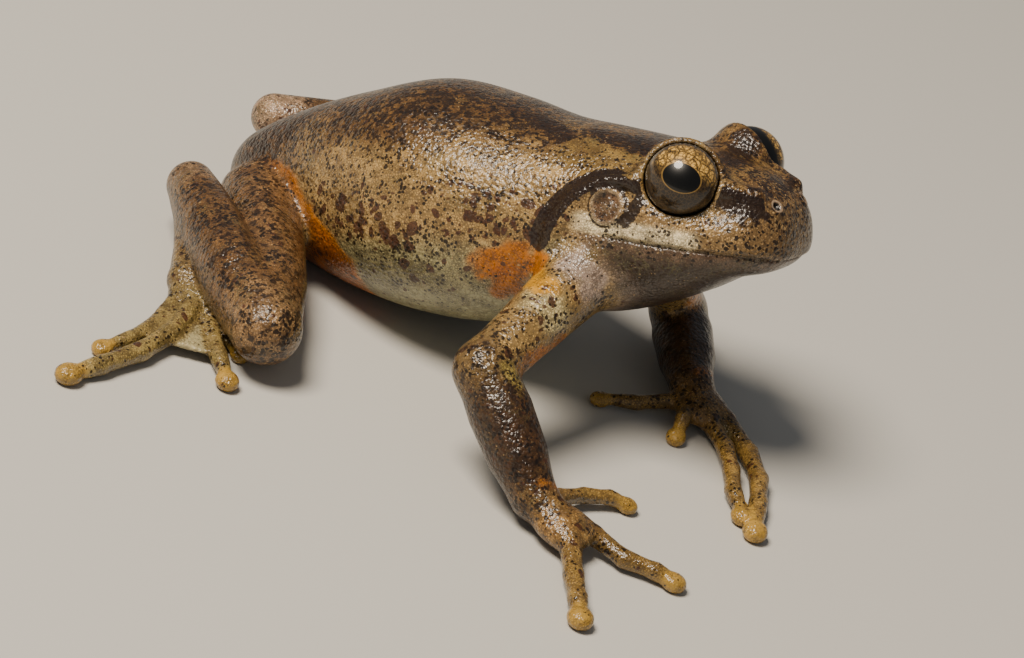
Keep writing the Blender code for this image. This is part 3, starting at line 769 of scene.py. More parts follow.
LEGS = {
    Side.RIGHT: Leg(
        hip=(-41.5, 0.0, 4.6), knee=(-27.4, -20.4, 4.8), heel=(-46.9, -4.3, 5.2),
        ankle=(-38.9, -16.0, 2.5),
        toes=(
            ((-36.6, -15.6, 1.3), (-34.4, -16.0, 1.0), (-32.4, -16.4, 0.8)),
            ((-36.2, -17.1, 1.5), (-32.9, -18.6, 1.1), (-29.4, -20.0, 0.7)),
            ((-35.8, -18.0, 1.8), (-33.0, -19.8, 1.4), (-30.2, -22.6, 1.1), (-27.4, -25.2, 0.8)),
            ((-35.9, -18.9, 2.0), (-34.9, -23.6, 1.5), (-34.9, -28.6, 1.2), (-35.8, -33.9, 1.1),
             (-36.8, -37.4, 0.8)),
            ((-37.8, -18.8, 1.5), (-37.0, -23.4, 1.1), (-37.0, -27.4, 1.0), (-37.8, -30.6, 0.7)),
        ),
    ),
    Side.LEFT: Leg(
        hip=(-39.4, 11.2, 4.6), knee=(-27.8, 32.4, 4.6), heel=(-50.6, 16.8, 5.0),
        ankle=(-41.4, 32.0, 2.5),
        toes=(
            ((-39.0, 31.6, 1.4), (-36.4, 31.6, 1.0), (-33.8, 31.4, 0.7)),
            ((-38.9, 32.8, 1.5), (-35.2, 34.4, 1.1), (-31.4, 36.2, 0.7)),
            ((-39.0, 33.9, 1.8), (-35.8, 36.4, 1.4), (-32.4, 38.8, 1.1), (-28.9, 40.8, 0.8)),
            ((-39.6, 34.8, 2.0), (-36.6, 38.8, 1.5), (-33.8, 42.6, 1.2), (-30.6, 46.0, 1.1),
             (-27.8, 48.8, 0.8)),
            ((-41.0, 34.8, 1.6), (-40.8, 39.4, 1.2), (-41.0, 43.8, 1.0), (-41.8, 48.0, 0.7)),
        ),
    ),
}


@dataclass
class Body:
    """The whole body as one distance function, joined limb by limb."""

    elbow_fillet: float = 0.9
    wrist_fillet: float = 0.8
    finger_fillet: float = 0.25
    knee_fillet: float = 0.45
    heel_fillet: float = 0.4
    toe_fillet: float = 0.2
    shoulder_fillet: float = 2.3
    hip_fillet: float = 1.0
    floor_rounding: float = 0.12
    spine_height: float = -3.0
    spine_stations: Spot = (0.0, 31.0, 62.0)
    # how far each mass may stand out from its own spine
    trunk_reach: float = 16.0
    reach: dict[str, float] = field(default_factory=lambda: {
        "upper": 3.3, "fore": 2.8, "hand": 3.0, "thigh": 4.4, "shank": 3.3, "tarsus": 2.2, "foot": 2.0})
    digit_reach: float = 1.5
    toe_root_share: float = 0.7

    def masses(self) -> dict[str, tuple]:
        """Return each mass's distance function and the places that it runs through.

        Returns:
            For each name the function, the places and how far the mass stands out from them.
        """
        spine = [STANCE.to_floor((x, 0.0, self.spine_height)) for x in self.spine_stations]
        made = {"trunk": (TRUNK.distance, spine, self.trunk_reach)}
        for side in Side:
            arm, leg, tag = ARMS[side], LEGS[side], side.value
            toe_places = [along_spine(toe, self.toe_root_share) for toe in leg.toes]
            lengths = {
                "upper": (arm.upper, [arm.shoulder, arm.elbow]),
                "fore": (arm.fore, [arm.elbow, arm.wrist]),
                "hand": (arm.hand, [arm.wrist, *(finger[0] for finger in arm.fingers)]),
                "thigh": (leg.thigh, [leg.hip, leg.knee]),
                "shank": (leg.shank, [leg.knee, leg.heel]),
                "tarsus": (leg.tarsus, [leg.heel, leg.ankle]),
                "foot": (leg.foot, [leg.ankle, *toe_places]),
            }
            for name, (measure, places) in lengths.items():
                made[f"{name}_{tag}"] = (measure, places, self.reach[name])
            for name, digits in (("finger", arm.digits()), ("toe", leg.digits())):
                for i, digit in enumerate(digits):
                    reach = digit.radius * self.digit_reach
                    made[f"{name}_{i}_{tag}"] = (digit.distance, digit.spine, reach)
        return made

    def distances(self, points: np.ndarray, margin: float = 3.0) -> dict[str, np.ndarray]:
        """Return each mass's distance at the points, worked out only near it.

        Args:
            points: places on the floor's axes.
            margin: how far beyond a mass its distance is still worked out.

        Returns:
            The distances of each mass, by name.
        """
        found = {}
        for name, (measure, spine, radius) in self.masses().items():
            places = np.asarray(spine, float)
            low, high = places.min(0) - radius - margin, places.max(0) + radius + margin
            close = ((points > low) & (points < high)).all(1)
            d = np.full(len(points), FAR)
            if close.any():
                d[close] = np.minimum(measure(points[close]), FAR)
            found[name] = d
        return found

    def join(self, points: np.ndarray, d: dict[str, np.ndarray]) -> np.ndarray:
        """Join the masses at the points as one skin.

        Args:
            points: places on the floor's axes.
            d: the distance of each mass at them, by name.

        Returns:
            The distance to the skin at each point.
        """
        skin = d["trunk"]
        for side in Side:
            tag = side.value
            arm = blend(d[f"upper_{tag}"], d[f"fore_{tag}"], self.elbow_fillet)
            arm = blend(arm, d[f"hand_{tag}"], self.wrist_fillet)
            for i in range(len(ARMS[side].fingers)):
                arm = blend(arm, d[f"finger_{i}_{tag}"], self.finger_fillet)
            thigh, shank = d[f"thigh_{tag}"], d[f"shank_{tag}"]
            leg = blend(thigh, shank, self.knee_fillet) + LEGS[side].fold(points, thigh, shank)
            leg = blend(leg, d[f"tarsus_{tag}"], self.heel_fillet)
            leg = blend(leg, d[f"foot_{tag}"], self.heel_fillet)
            for i in range(len(LEGS[side].toes)):
                leg = blend(leg, d[f"toe_{i}_{tag}"], self.toe_fillet)
            skin = blend(blend(skin, arm, self.shoulder_fillet), leg, self.hip_fillet)
        return skin

    def distance(self, points: np.ndarray) -> np.ndarray:
        """Distance to the whole skin, kept above the floor."""
        skin = self.join(points, self.distances(points))
        return carve(skin, -points[:, 2], self.floor_rounding)


@dataclass
class SkinNet:
    """Turns a distance function into one closed mesh of quads on an uneven grid."""

    body: Body
    coarse: float = 0.36
    fine: float = 0.27
    low: Spot = (-56.0, -41.0, -0.9)
    high: Spot = (22.5, 52.5, 34.0)
    # where the face and hands lie on each axis, meshed finer
    fine_from: Spot = (-14.0, -8.0, 10.0)
    fine_to: Spot = (13.0, 19.0, 34.0)
    ease: float = 3.0
    block: int = 4
    near_blocks: float = 0.9
    near_extra: float = 0.8
    join_rounds: int = 400
    settle_rounds: int = 3
    settle_share: float = 0.5
    nudge: float = 0.02
    flattest: float = 0.15
    longest_move: float = 0.3

    def ticks(self, axis: int) -> np.ndarray:
        """Return the grid's places along one axis, closer together over the face.

        Args:
            axis: 0, 1 or 2.

        Returns:
            The places, a whole number of blocks of them.
        """
        places = [self.low[axis]]
        while places[-1] < self.high[axis]:
            here = places[-1]
            ease = min(here - self.fine_from[axis], self.fine_to[axis] - here)
            share = min(max(ease / self.ease + 0.5, 0.0), 1.0)
            places.append(here + self.coarse + (self.fine - self.coarse) * share)
        extra = (-len(places)) % self.block
        return np.array(places + [places[-1] + self.coarse * (i + 1) for i in range(extra)])

    def sampled(self, ticks: list[np.ndarray]) -> np.ndarray:
        """Return the distance at each grid place, exact near the skin and rough elsewhere.

        Args:
            ticks: the grid's places along each axis.

        Returns:
            The distances, as a block of numbers.
        """
        middle = [t.reshape(-1, self.block).mean(1) for t in ticks]
        rough_points = np.stack(np.meshgrid(*middle, indexing="ij"), -1).reshape(-1, 3)
        value = self.body.distance(rough_points).reshape([len(m) for m in middle])
        for axis in range(3):
            value = value.repeat(self.block, axis)
        value = value.astype(float)
        close = np.abs(value) < self.block * self.coarse * self.near_blocks + self.near_extra
        spots = np.argwhere(close)
        points = np.stack([ticks[axis][spots[:, axis]] for axis in range(3)], 1)
        value[close] = self.body.distance(points)
        return value

    def build(self) -> tuple[np.ndarray, np.ndarray]:
        """Return the skin's places and quads.

        Returns:
            The places in millimetres, and four of their numbers a quad.
        """
        ticks = [self.ticks(axis) for axis in range(3)]
        value = self.sampled(ticks)
        inside = value < 0
        cells = np.array(value.shape) - 1
        count = np.zeros(cells, np.int8)
        corners = [np.array(c) for c in np.ndindex(2, 2, 2)]
        for i, j, k in corners:
            count += inside[i:i + cells[0], j:j + cells[1], k:k + cells[2]]
        used = (count > 0) & (count < 8)
        index = np.full(cells, -1)
        index[used] = np.arange(used.sum())
        base = np.argwhere(used)
        total, crossings = np.zeros((len(base), 3)), np.zeros(len(base))
        for corner in corners:
            for axis in range(3):
                if corner[axis]:
                    continue
                other = corner + np.eye(3, dtype=int)[axis]
                va, vb = value[tuple((base + corner).T)], value[tuple((base + other).T)]
                crossed = (va < 0) != (vb < 0)
                share = np.where(crossed, va / np.where(crossed, va - vb, 1.0), 0.0)
                crossings += crossed
                total += crossed[:, None] * (corner + share[:, None] * np.eye(3)[axis])
        cell = total / crossings[:, None]
        places = np.stack([
            ticks[axis][base[:, axis]] + cell[:, axis] * np.diff(ticks[axis])[base[:, axis]]
            for axis in range(3)], 1)
        quads = self.quads(inside, index, cells)
        places, quads = self.largest(places, quads)
        return self.settle(places, quads), quads

    def quads(self, inside: np.ndarray, index: np.ndarray, cells: np.ndarray) -> np.ndarray:
        """Return a quad round each grid edge that the skin crosses.

        Args:
            inside: whether each grid place lies inside.
            index: the number of each cell's place on the skin.
            cells: how many cells there are along each axis.

        Returns:
            The quads, facing out.
        """
        faces = []
        for axis in range(3):
            u, v = [i for i in range(3) if i != axis]
            first = np.take(inside, range(inside.shape[axis] - 1), axis)
            second = np.take(inside, range(1, inside.shape[axis]), axis)
            spots = np.argwhere(first != second)
            spots = spots[(spots[:, u] > 0) & (spots[:, v] > 0)
                          & (spots[:, u] < cells[u]) & (spots[:, v] < cells[v])]
            step_u, step_v = np.eye(3, dtype=int)[u], np.eye(3, dtype=int)[v]
            ring = [spots - step_u - step_v, spots - step_v, spots, spots - step_u]
            quads = np.stack([index[tuple(r.T)] for r in ring], 1)
            outward = first[tuple(spots.T)] == (axis != 1)
            faces.append(np.where(outward[:, None], quads, quads[:, ::-1]))
        return np.concatenate(faces)

    def largest(self, places: np.ndarray, quads: np.ndarray) -> tuple[np.ndarray, np.ndarray]:
        """Keep only the largest connected piece.

        Args:
            places: the mesh's places.
            quads: its quads.

        Returns:
            The places and the quads of that piece.
        """
        label = np.arange(len(places))
        for _ in range(self.join_rounds):
            lowest = label[quads].min(1)
            before = label.copy()
            for column in range(4):
                np.minimum.at(label, quads[:, column], lowest)
            label = label[label]
            if (label == before).all():
                break
        names, sizes = np.unique(label, return_counts=True)
        keep = label == names[sizes.argmax()]
        number = np.cumsum(keep) - 1
        return places[keep], number[quads[keep[quads[:, 0]]]]

    def settle(self, places: np.ndarray, quads: np.ndarray) -> np.ndarray:
        """Even out the mesh along the skin, and move it onto the skin along the steepest way.

        Args:
            places: the mesh's places.
            quads: its quads.

        Returns:
            The moved places.
        """
        for _ in range(self.settle_rounds):
            total, count = np.zeros_like(places), np.zeros(len(places))
            for a, b in ((0, 1), (1, 2), (2, 3), (3, 0)):
                for p, q in ((a, b), (b, a)):
                    np.add.at(total, quads[:, p], places[quads[:, q]])
                    np.add.at(count, quads[:, p], 1.0)
            slide = total / count[:, None] - places
            here = self.body.distance(places)
            slope = np.stack([(self.body.distance(places + self.nudge * axis) - here) / self.nudge
                              for axis in np.eye(3)], 1)
            size = np.maximum((slope ** 2).sum(1), self.flattest)[:, None]
            slide -= slope * (slide * slope).sum(1)[:, None] / size
            back = here[:, None] * slope / size
            back = np.clip(back, -self.longest_move, self.longest_move)
            places = places + self.settle_share * slide - back
        return places


@dataclass(frozen=True)
class Streak:
    """A dark stripe on the side of the head.

    Its line holds places forward and up in the body's axes, each with its half width.
    """

    line: tuple[Spot, ...]
    soft: float
    strength: float = 1.0
    inner_fade: tuple[float, float] = (3.0, 5.0)

    def cover(self, side: np.ndarray) -> np.ndarray:
        """Cover what lies under the stripe.

        Args:
            side: places in the body's axes, all on the left.

        Returns:
            The cover of each place, from 0 to the stripe's strength.
        """
        spine = np.array([(x, 0.0, z) for x, z, _ in self.line])
        gap = tube(side * (1.0, 0.0, 1.0), spine, tuple(width for _, _, width in self.line))
        edge = 1.0 - step(gap, -0.3 * self.soft, self.soft)
        return edge * step(side[:, 1], *self.inner_fade) * self.strength


@dataclass
class Canvas:
    """The skin's vertices, with the tint and the covers of pigment laid on them so far.

    The places are in millimetres on the floor's axes, and inner, x, z and side in the body's own,
    side with both halves of the body turned to the left.
    """

    places: np.ndarray
    body: Body
    limb_soft: float = 0.45
    ragged_mm: float = 2.2
    ragged_depth: float = 0.45
    head_reach: tuple[float, float] = (41.0, 45.0)
    kinds: tuple[str, ...] = ("dark", "blotch", "speck", "grain", "pale", "net", "stripe", "wet")

    def __post_init__(self) -> None:
        """Measure where the vertices lie, and start with no tint and no covers."""
        gaps = self.body.distances(self.places)
        stack = np.stack(list(gaps.values()))
        weight = np.exp(-(stack - stack.min(0)) / self.limb_soft)
        self.weights = dict(zip(gaps, weight / weight.sum(0)))
        self.inner = STANCE.to_body(self.places)
        self.x, self.z = self.inner[:, 0], self.inner[:, 2]
        self.side = np.stack([self.x, np.abs(self.inner[:, 1]), self.z], 1)
        self.trunk = self.share("trunk")
        self.head = step(self.x, *self.head_reach) * self.trunk
        self.ragged = np.zeros(len(self.places))
        self.tint = np.zeros((len(self.places), 3))
        self.covers = {kind: np.zeros(len(self.places)) for kind in self.kinds}

    def roughen(self) -> None:
        """Work out how much further out each place counts, which breaks up the edges of patches."""
        self.ragged = waves(self.inner, self.ragged_mm, 11) * self.ragged_depth

    def share(self, *starts: str) -> np.ndarray:
        """Return how far each place belongs to the masses whose names start so, from 0 to 1."""
        return np.sum([w for name, w in self.weights.items() if name.startswith(starts)], 0)

    def lay(self, colour: str, part: np.ndarray, **covers: float) -> None:
        """Lay a colour over the tint, and set covers, where the part is.

        Args:
            colour: the colour's hex digits.
            part: how much of each place it takes, from 0 to 1.
            covers: the cover there of each kind of pigment that it changes.
        """
        part = np.clip(part, 0.0, 1.0)
        self.tint += (np.array(linear(colour)) - self.tint) * part[:, None]
        for kind, value in covers.items():
            self.covers[kind] += (value - self.covers[kind]) * part

    def write(self, mesh: bpy.types.Mesh) -> None:
        """Write the tint and the covers as attributes of the mesh.

        Args:
            mesh: the skin's mesh.
        """
        for kind, value in self.covers.items():
            layer = mesh.attributes.new(kind, "FLOAT", "POINT")
            layer.data.foreach_set("value", value.astype(np.float32))
        layer = mesh.attributes.new("tint", "FLOAT_COLOR", "POINT")
        rgba = np.concatenate([self.tint, np.ones((len(self.places), 1))], 1).astype(np.float32)
        layer.data.foreach_set("color", rgba.ravel())


@dataclass
class Markings:
    """The colours and patterns of the living skin, spread over the mesh from named places."""

    back: str = "84602f"
    # partly painted shade: the rear of the back darker where less light falls
    rump: str = "704f28"
    flank: str = "b8965c"
    low_flank: str = "a89d70"
    belly: str = "aaa47e"
    # partly painted shade: the throat's own greyish brown darkened for the shade under the head
    throat: str = "3a2c21"
    crown: str = "94713c"
    cheek: str = "be9a62"
    lip: str = "f0dcae"
    # partly painted shade: the jaw darkened for the shade under the head
    jaw: str = "6c5642"
    snout: str = "98774a"
    shoulder: str = "b09a88"
    orange: str = "c87400"
    # painted shade: a darker orange where the groin and the armpits lie in creases
    shaded_orange: str = "9c5000"
    upper_arm: str = "d2ac68"
    forearm: str = "4e341b"
    hand: str = "b0864a"
    # partly painted shade: the fingers darker than their own golden yellow
    finger: str = "a07f40"
    disc: str = "b28c3c"
    thigh: str = "9a7245"
    thigh_edge: str = "b09a5c"
    shank: str = "825e34"
    knee: str = "b48e5e"
    heel: str = "c9a684"
    tarsus: str = "ac8f58"
    # partly painted shade: the feet darkened for the shade on the floor
    foot: str = "806c3f"
    toe: str = "a58e52"
    web: str = "b8ab7e"
    ear: str = "6d5036"
    ear_edge: str = "ab9472"
    lid_edge: str = "a48c60"
    crook: str = "a8924c"
    # painted shade: near-black skin in the gap between the lids and the eyeball
    socket: str = "120c07"
    temple: str = "97793f"
    # cream on the top of the upper arm, partly its own colour and partly a painted highlight
    arm_cream: str = "e2cd92"
    root_gold: str = "d09418"
    pit_orange: str = "ba6c00"

    # size and depth of the swell that makes the flank's bands uneven
    flank_swell: tuple[float, float] = (9.0, 0.8)
    # heights in the body's axes, and places along the body, where each colour starts and is full
    upper_flank: tuple[float, float] = (5.6, 1.6)
    mid_flank: tuple[float, float] = (0.2, -1.4)
    under_flank: tuple[float, float] = (-4.4, -7.0)
    under_belly: tuple[float, float] = (-8.4, -10.8)
    rump_reach: tuple[float, float] = (15.0, 7.0)
    rump_height: tuple[float, float] = (-4.0, 1.0)
    crown_height: tuple[float, float] = (-1.5, 1.0)
    cheek_height: tuple[float, float] = (0.0, -2.0)
    snout_reach: tuple[float, float] = (56.0, 60.5)
    snout_height: tuple[float, float] = (-8.0, -7.0)
    snout_top: tuple[float, float] = (-2.4, -1.2)
    # the same, as heights over the mouth's line
    jaw_drop: tuple[float, float] = (0.1, -0.25)
    throat_drop: tuple[float, float] = (-0.9, -1.9)

    behind_eye: Streak = Streak((
        (50.2, -0.5, 0.4), (48.6, -0.1, 0.45), (47.0, 0.3, 0.55), (45.4, 0.45, 0.65), (43.9, 0.0, 0.75),
        (42.4, -1.0, 0.85), (41.2, -2.4, 0.95), (40.3, -3.9, 1.0), (39.9, -5.1, 0.95)), 0.4)
    below_eye: Streak = Streak(((49.8, -1.0, 0.35), (49.1, -2.1, 0.6), (48.3, -3.3, 0.5)), 0.6, 0.7)
    before_eye: Streak = Streak((
        (55.6, -0.8, 0.6), (56.6, -1.2, 0.8), (57.7, -1.8, 0.85), (59.1, -2.3, 0.75), (60.1, -2.7, 0.6),
        (60.9, -2.9, 0.4)), 0.4, 0.9)
    lower_fade: float = 1.3
    lower_strength: float = 0.44
    lower_drop: float = 0.7
    stripe_off_eye: tuple[float, float] = (3.65, 4.0)

    crown_patches: tuple[Patch, ...] = (
        Patch(((35.8, 3.2, 4.9), (39.2, 4.8, 3.9)), 0.9, 0.8),
        Patch(((42.4, 3.0, 3.8), (47.2, 4.2, 2.7)), 0.9, 0.8),
        Patch(((49.6, 0.0, 3.0), (46.4, 1.6, 3.4)), 0.9, 0.8))
    temple_patch: Patch = Patch(((42.5, 6.4, 2.6), (48.0, 7.2, 1.8)), 1.8, 1.6)
    brow_band: Patch = Patch(((54.6, 0.0, 1.8), (54.0, 3.6, 2.6)), 0.9, 1.2)
    granular_cheek: Patch = Patch(((52.6, 9.2, -4.2), (56.5, 7.6, -4.6)), 0.9, 1.4)
    upper_lip: Patch = Patch(((43.6, 10.3, -3.4), (48.6, 10.1, -4.3), (54.2, 8.9, -5.2)), 0.55, 0.8)
    chest: Patch = Patch(((46.4, 8.8, -9.6), (43.0, 6.0, -12.6)), 1.7, 1.6)
    armpit: Patch = Patch(((34.4, 11.4, -7.6), (37.6, 11.2, -6.8), (39.8, 11.8, -7.4)), 1.1, 0.8)
    under_armpit: Patch = Patch(((37.0, 11.0, -8.0), (35.6, 10.4, -9.8)), 1.1, 0.9)
    # painted shade along the crease of the armpit
    armpit_crease_shade: Patch = Patch(((35.4, 11.2, -8.4), (39.0, 11.4, -7.6)), 0.2, 0.9)
    arm_root: Patch = Patch(((39.4, 12.0, -7.2), (41.4, 14.2, -8.4), (42.6, 15.0, -8.9)), 0.7, 1.1)
    # the top of the upper arm: cream partly of its own and partly as a painted highlight
    pale_arm: Patch = Patch(((42.6, 16.0, -9.6), (43.6, 15.8, -11.6)), 1.1, 1.5)
    pink_shoulder: Patch = Patch(((43.8, 11.8, -7.2), (45.3, 11.5, -8.1), (45.4, 11.6, -9.5)), 0.9, 1.4)

    # the groin's front edge: its place at eye level, its slope down the flank and its furthest forward
    groin_front: Spot = (10.6, -1.15, 19.8)
    groin_edge: tuple[float, float] = (-0.4, 0.8)
    # how far behind the groin's front edge its painted shade starts and is full
    groin_depth: tuple[float, float] = (0.6, 2.0)
    groin_height: tuple[float, float] = (1.0, 0.1)
    groin_back: tuple[float, float] = (5.4, 7.2)
    groin_side: tuple[float, float] = (1.5, 4.0)
    knee_reach: tuple[float, float] = (5.6, 3.6)
    heel_reach: tuple[float, float] = (5.0, 2.6)
    heel_shares: dict[Side, float] = field(default_factory=lambda: {Side.RIGHT: 0.4, Side.LEFT: 1.0})
    web_edge: tuple[float, float] = (0.3, 0.05)
    web_off_bones: tuple[float, float] = (0.25, 0.6)
    disc_edge: tuple[float, float] = (0.6, 0.1)

    def flanks(self, canvas: Canvas) -> None:
        """Colour the trunk, from the dark back down to the pale belly.

        Args:
            canvas: the skin that is painted.
        """
        size, depth = self.flank_swell
        height = canvas.z + waves(canvas.inner, size, 3) * depth
        lay = canvas.lay
        lay(self.back, np.ones(len(height)), dark=0.54, speck=0.48, grain=0.46, wet=0.5)
        lay(self.flank, step(height, *self.upper_flank), dark=0.2, speck=0.45, grain=0.4, wet=0.8)
        lay(self.flank, step(height, *self.mid_flank), dark=0.18, speck=0.47, blotch=0.5, wet=0.6)
        lay(self.low_flank, step(height, *self.under_flank),
            dark=0.1, speck=0.46, blotch=0.16, net=0.24, grain=0.3)
        lay(self.belly, step(height, *self.under_belly),
            dark=0.0, speck=0.2, blotch=0.0, net=0.3, grain=0.14)
        # the rump darker, partly as painted shade at the back's rear
        rump = step(canvas.x, *self.rump_reach) * step(canvas.z, *self.rump_height)
        lay(self.rump, rump, dark=0.58, speck=0.48, blotch=0.1)

    def skull(self, canvas: Canvas) -> None:
        """Colour the crown, the cheeks and the snout.

        Args:
            canvas: the skin that is painted.
        """
        side, z, head, lay = canvas.side, canvas.z, canvas.head, canvas.lay
        lay(self.crown, head * step(z, *self.crown_height), dark=0.4, speck=0.48, blotch=0.0)
        lay(self.cheek, head * step(z, *self.cheek_height),
            dark=0.16, speck=0.5, blotch=0.0, net=0.0, grain=0.46)
        lay(self.temple, self.temple_patch.cover(side), dark=0.24, speck=0.46)
        for patch in self.crown_patches:
            lay(self.back, patch.cover(side, canvas.ragged) * canvas.trunk, dark=0.74)
        lay(self.back, self.brow_band.cover(side) * head, dark=0.72)
        snout = step(canvas.x, *self.snout_reach) * head
        lay(self.snout, snout * step(z, *self.snout_height), dark=0.3, speck=0.6, pale=0.5, grain=0.6)
        lay(self.back, snout * step(z, *self.snout_top), dark=0.64)
        lay(self.cheek, self.granular_cheek.cover(side) * head,
            speck=0.5, pale=0.44, dark=0.16, grain=0.52)

    def mouth(self, canvas: Canvas) -> None:
        """Colour the lips, the jaw, the throat and the chest, with the jaw and the throat darkened as
        painted shade.

        Args:
            canvas: the skin that is painted.
        """
        side, head, lay = canvas.side, canvas.head, canvas.lay
        above = canvas.z - TRUNK.mouth_height(canvas.x)
        lay(self.lip, self.upper_lip.cover(side) * head, dark=0.0, speck=0.43, pale=0.0, grain=0.3, wet=0.5)
        # painted shade: the jaw and the throat below it are darker for the shade under the head
        lay(self.jaw, head * step(above, *self.jaw_drop),
            dark=0.06, speck=0.46, pale=0.1, blotch=0.0, grain=0.5)
        lay(self.throat, head * step(above, *self.throat_drop),
            dark=0.0, speck=0.1, pale=0.0, grain=0.3, wet=0.5)
        lay(self.shoulder, self.chest.cover(side) * 0.4,
            dark=0.0, speck=0.1, blotch=0.0, grain=0.16, net=0.0, wet=0.7)

    def stripes(self, side: np.ndarray) -> np.ndarray:
        """Cover the dark stripes behind, below and before the eye.

        Args:
            side: places in the body's axes, all on the left.

        Returns:
            The cover of each place, from 0 to 1.
        """
        lower = tuple((x, z - self.lower_drop, width) for x, z, width in self.before_eye.line)
        faded = Streak(lower, self.lower_fade, self.lower_strength)
        streaks = (self.behind_eye, self.below_eye, self.before_eye, faded)
        return np.max([streak.cover(side) for streak in streaks], axis=0)

    def eyes_and_ears(self, canvas: Canvas) -> None:
        """Set the cover of the dark stripes, colour the eardrums and the lids, and paint shade into the
        sockets.

        Args:
            canvas: the skin that is painted.
        """
        side, head, lay = canvas.side, canvas.head, canvas.lay
        drum, eye = TRUNK.ear_radius, TRUNK.eye_radius
        from_ear = np.hypot(canvas.x - TRUNK.ear_place[0], canvas.z - TRUNK.ear_place[1])
        from_ear = from_ear + 20.0 * (side[:, 1] < TRUNK.ear_inner_side)
        eye_gap = np.linalg.norm(side - TRUNK.eye_place, axis=1)
        stripe = np.maximum(self.stripes(side), 0.7 * near_ring(from_ear, drum + 0.3, 0.2))
        stripe = stripe * canvas.trunk * step(from_ear, drum + 0.05, drum + 0.25)
        canvas.covers["stripe"] = stripe * step(eye_gap, *self.stripe_off_eye)
        lay(self.ear, step(from_ear, drum + 0.2, drum), dark=0.36, speck=0.3, blotch=0.0)
        lay(self.ear_edge, near_ring(from_ear, drum - 0.05, 0.16), dark=0.1, speck=0.2)
        lay(self.ear_edge, near_ring(from_ear, 0.0, 0.4) * 0.7, dark=0.1)
        lid = near_ring(eye_gap, eye + 0.38, 0.17) * step(waves(canvas.inner, 2.6, 7), -0.9, 0.5)
        lay(self.lid_edge, lid * head, dark=0.12, speck=0.34, blotch=0.0)
        # painted shade in the gap round the eyeball
        lay(self.socket, step(eye_gap, eye + 0.2, eye + 0.1) * head, dark=0.0, speck=0.0)

    def groin(self, canvas: Canvas) -> None:
        """Colour the orange of the groin, with painted shade that deepens away from its uneven front edge,
        towards the thigh.

        Args:
            canvas: the skin that is painted.
        """
        x, z, inner = canvas.x, canvas.z, canvas.inner
        level, slope, furthest = self.groin_front
        front = np.minimum(level + slope * z, furthest)
        behind = front + waves(inner, 4.0, 5) * 0.4 + waves(inner, 1.4, 8) * 0.3 - x
        part = step(behind, *self.groin_edge) * step(z, *self.groin_height) * step(x, *self.groin_back)
        part = part * step(canvas.side[:, 1], *self.groin_side) * canvas.trunk
        canvas.lay(self.orange, part, dark=0.0, speck=0.16, blotch=0.0, grain=0.2, net=0.0)
        # painted shade, deeper towards the crease between flank and thigh
        canvas.lay(self.shaded_orange, part * step(behind, *self.groin_depth) * 0.8)

    def limbs(self, canvas: Canvas) -> None:
        """Colour the limbs, each length and all beyond it over the one before.

        Args:
            canvas: the skin that is painted.
        """
        arm = ("upper", "fore", "hand", "finger")
        leg = ("thigh", "shank", "tarsus", "foot", "toe")
        lay, share = canvas.lay, canvas.share
        lay(self.upper_arm, share(*arm), dark=0.24, speck=0.55, blotch=0.28, grain=0.7, net=0.0, wet=0.75)
        lay(self.forearm, share(*arm[1:]), dark=0.44, speck=0.5, blotch=0.24, grain=0.58, wet=0.6)
        lay(self.hand, share(*arm[2:]), dark=0.26, speck=0.48, blotch=0.16, grain=0.56, wet=0.8)
        # the fingers' tone is darkened partly as painted shade
        lay(self.finger, share(*arm[3:]), dark=0.1, speck=0.42, blotch=0.0, grain=0.46, wet=0.8)
        lay(self.thigh, share(*leg), dark=0.36, speck=0.54, blotch=0.04, grain=0.52, net=0.0, wet=0.5)
        lay(self.shank, share(*leg[1:]), dark=0.4, speck=0.54, grain=0.52)
        lay(self.tarsus, share(*leg[2:]), dark=0.3, speck=0.48, grain=0.5, wet=0.6)
        # the feet's tone is darkened partly as painted shade
        lay(self.foot, share(*leg[3:]), dark=0.16, speck=0.42, grain=0.44, wet=0.8)
        lay(self.toe, share(*leg[4:]), dark=0.06, speck=0.34, grain=0.34)

    def armpits(self, canvas: Canvas) -> None:
        """Colour the orange of the armpits, with painted shade in their creases, and the pale roots of the
        arms.

        Args:
            canvas: the skin that is painted.
        """
        side, ragged, lay = canvas.side, canvas.ragged, canvas.lay
        pit = np.maximum(self.armpit.cover(side, ragged), self.under_armpit.cover(side, ragged))
        pit *= 1.0 - canvas.share("fore", "hand", "finger", "thigh")
        lay(self.shoulder, self.pink_shoulder.cover(side, ragged),
            dark=0.0, speck=0.2, blotch=0.0, grain=0.3, net=0.0, wet=0.9)
        # partly a painted highlight on the top of the upper arm
        lay(self.arm_cream, self.pale_arm.cover(side, ragged) * canvas.share("upper"),
            dark=0.06, blotch=0.16, speck=0.4, grain=0.42)
        lay(self.root_gold, self.arm_root.cover(side, ragged),
            dark=0.0, speck=0.12, blotch=0.0, grain=0.2, net=0.0)
        lay(self.pit_orange, pit, dark=0.06, speck=0.1, blotch=0.0, grain=0.24, net=0.0, wet=0.3)
        # painted shade in the armpit's crease
        lay(self.shaded_orange, self.armpit_crease_shade.cover(side) * 0.7)

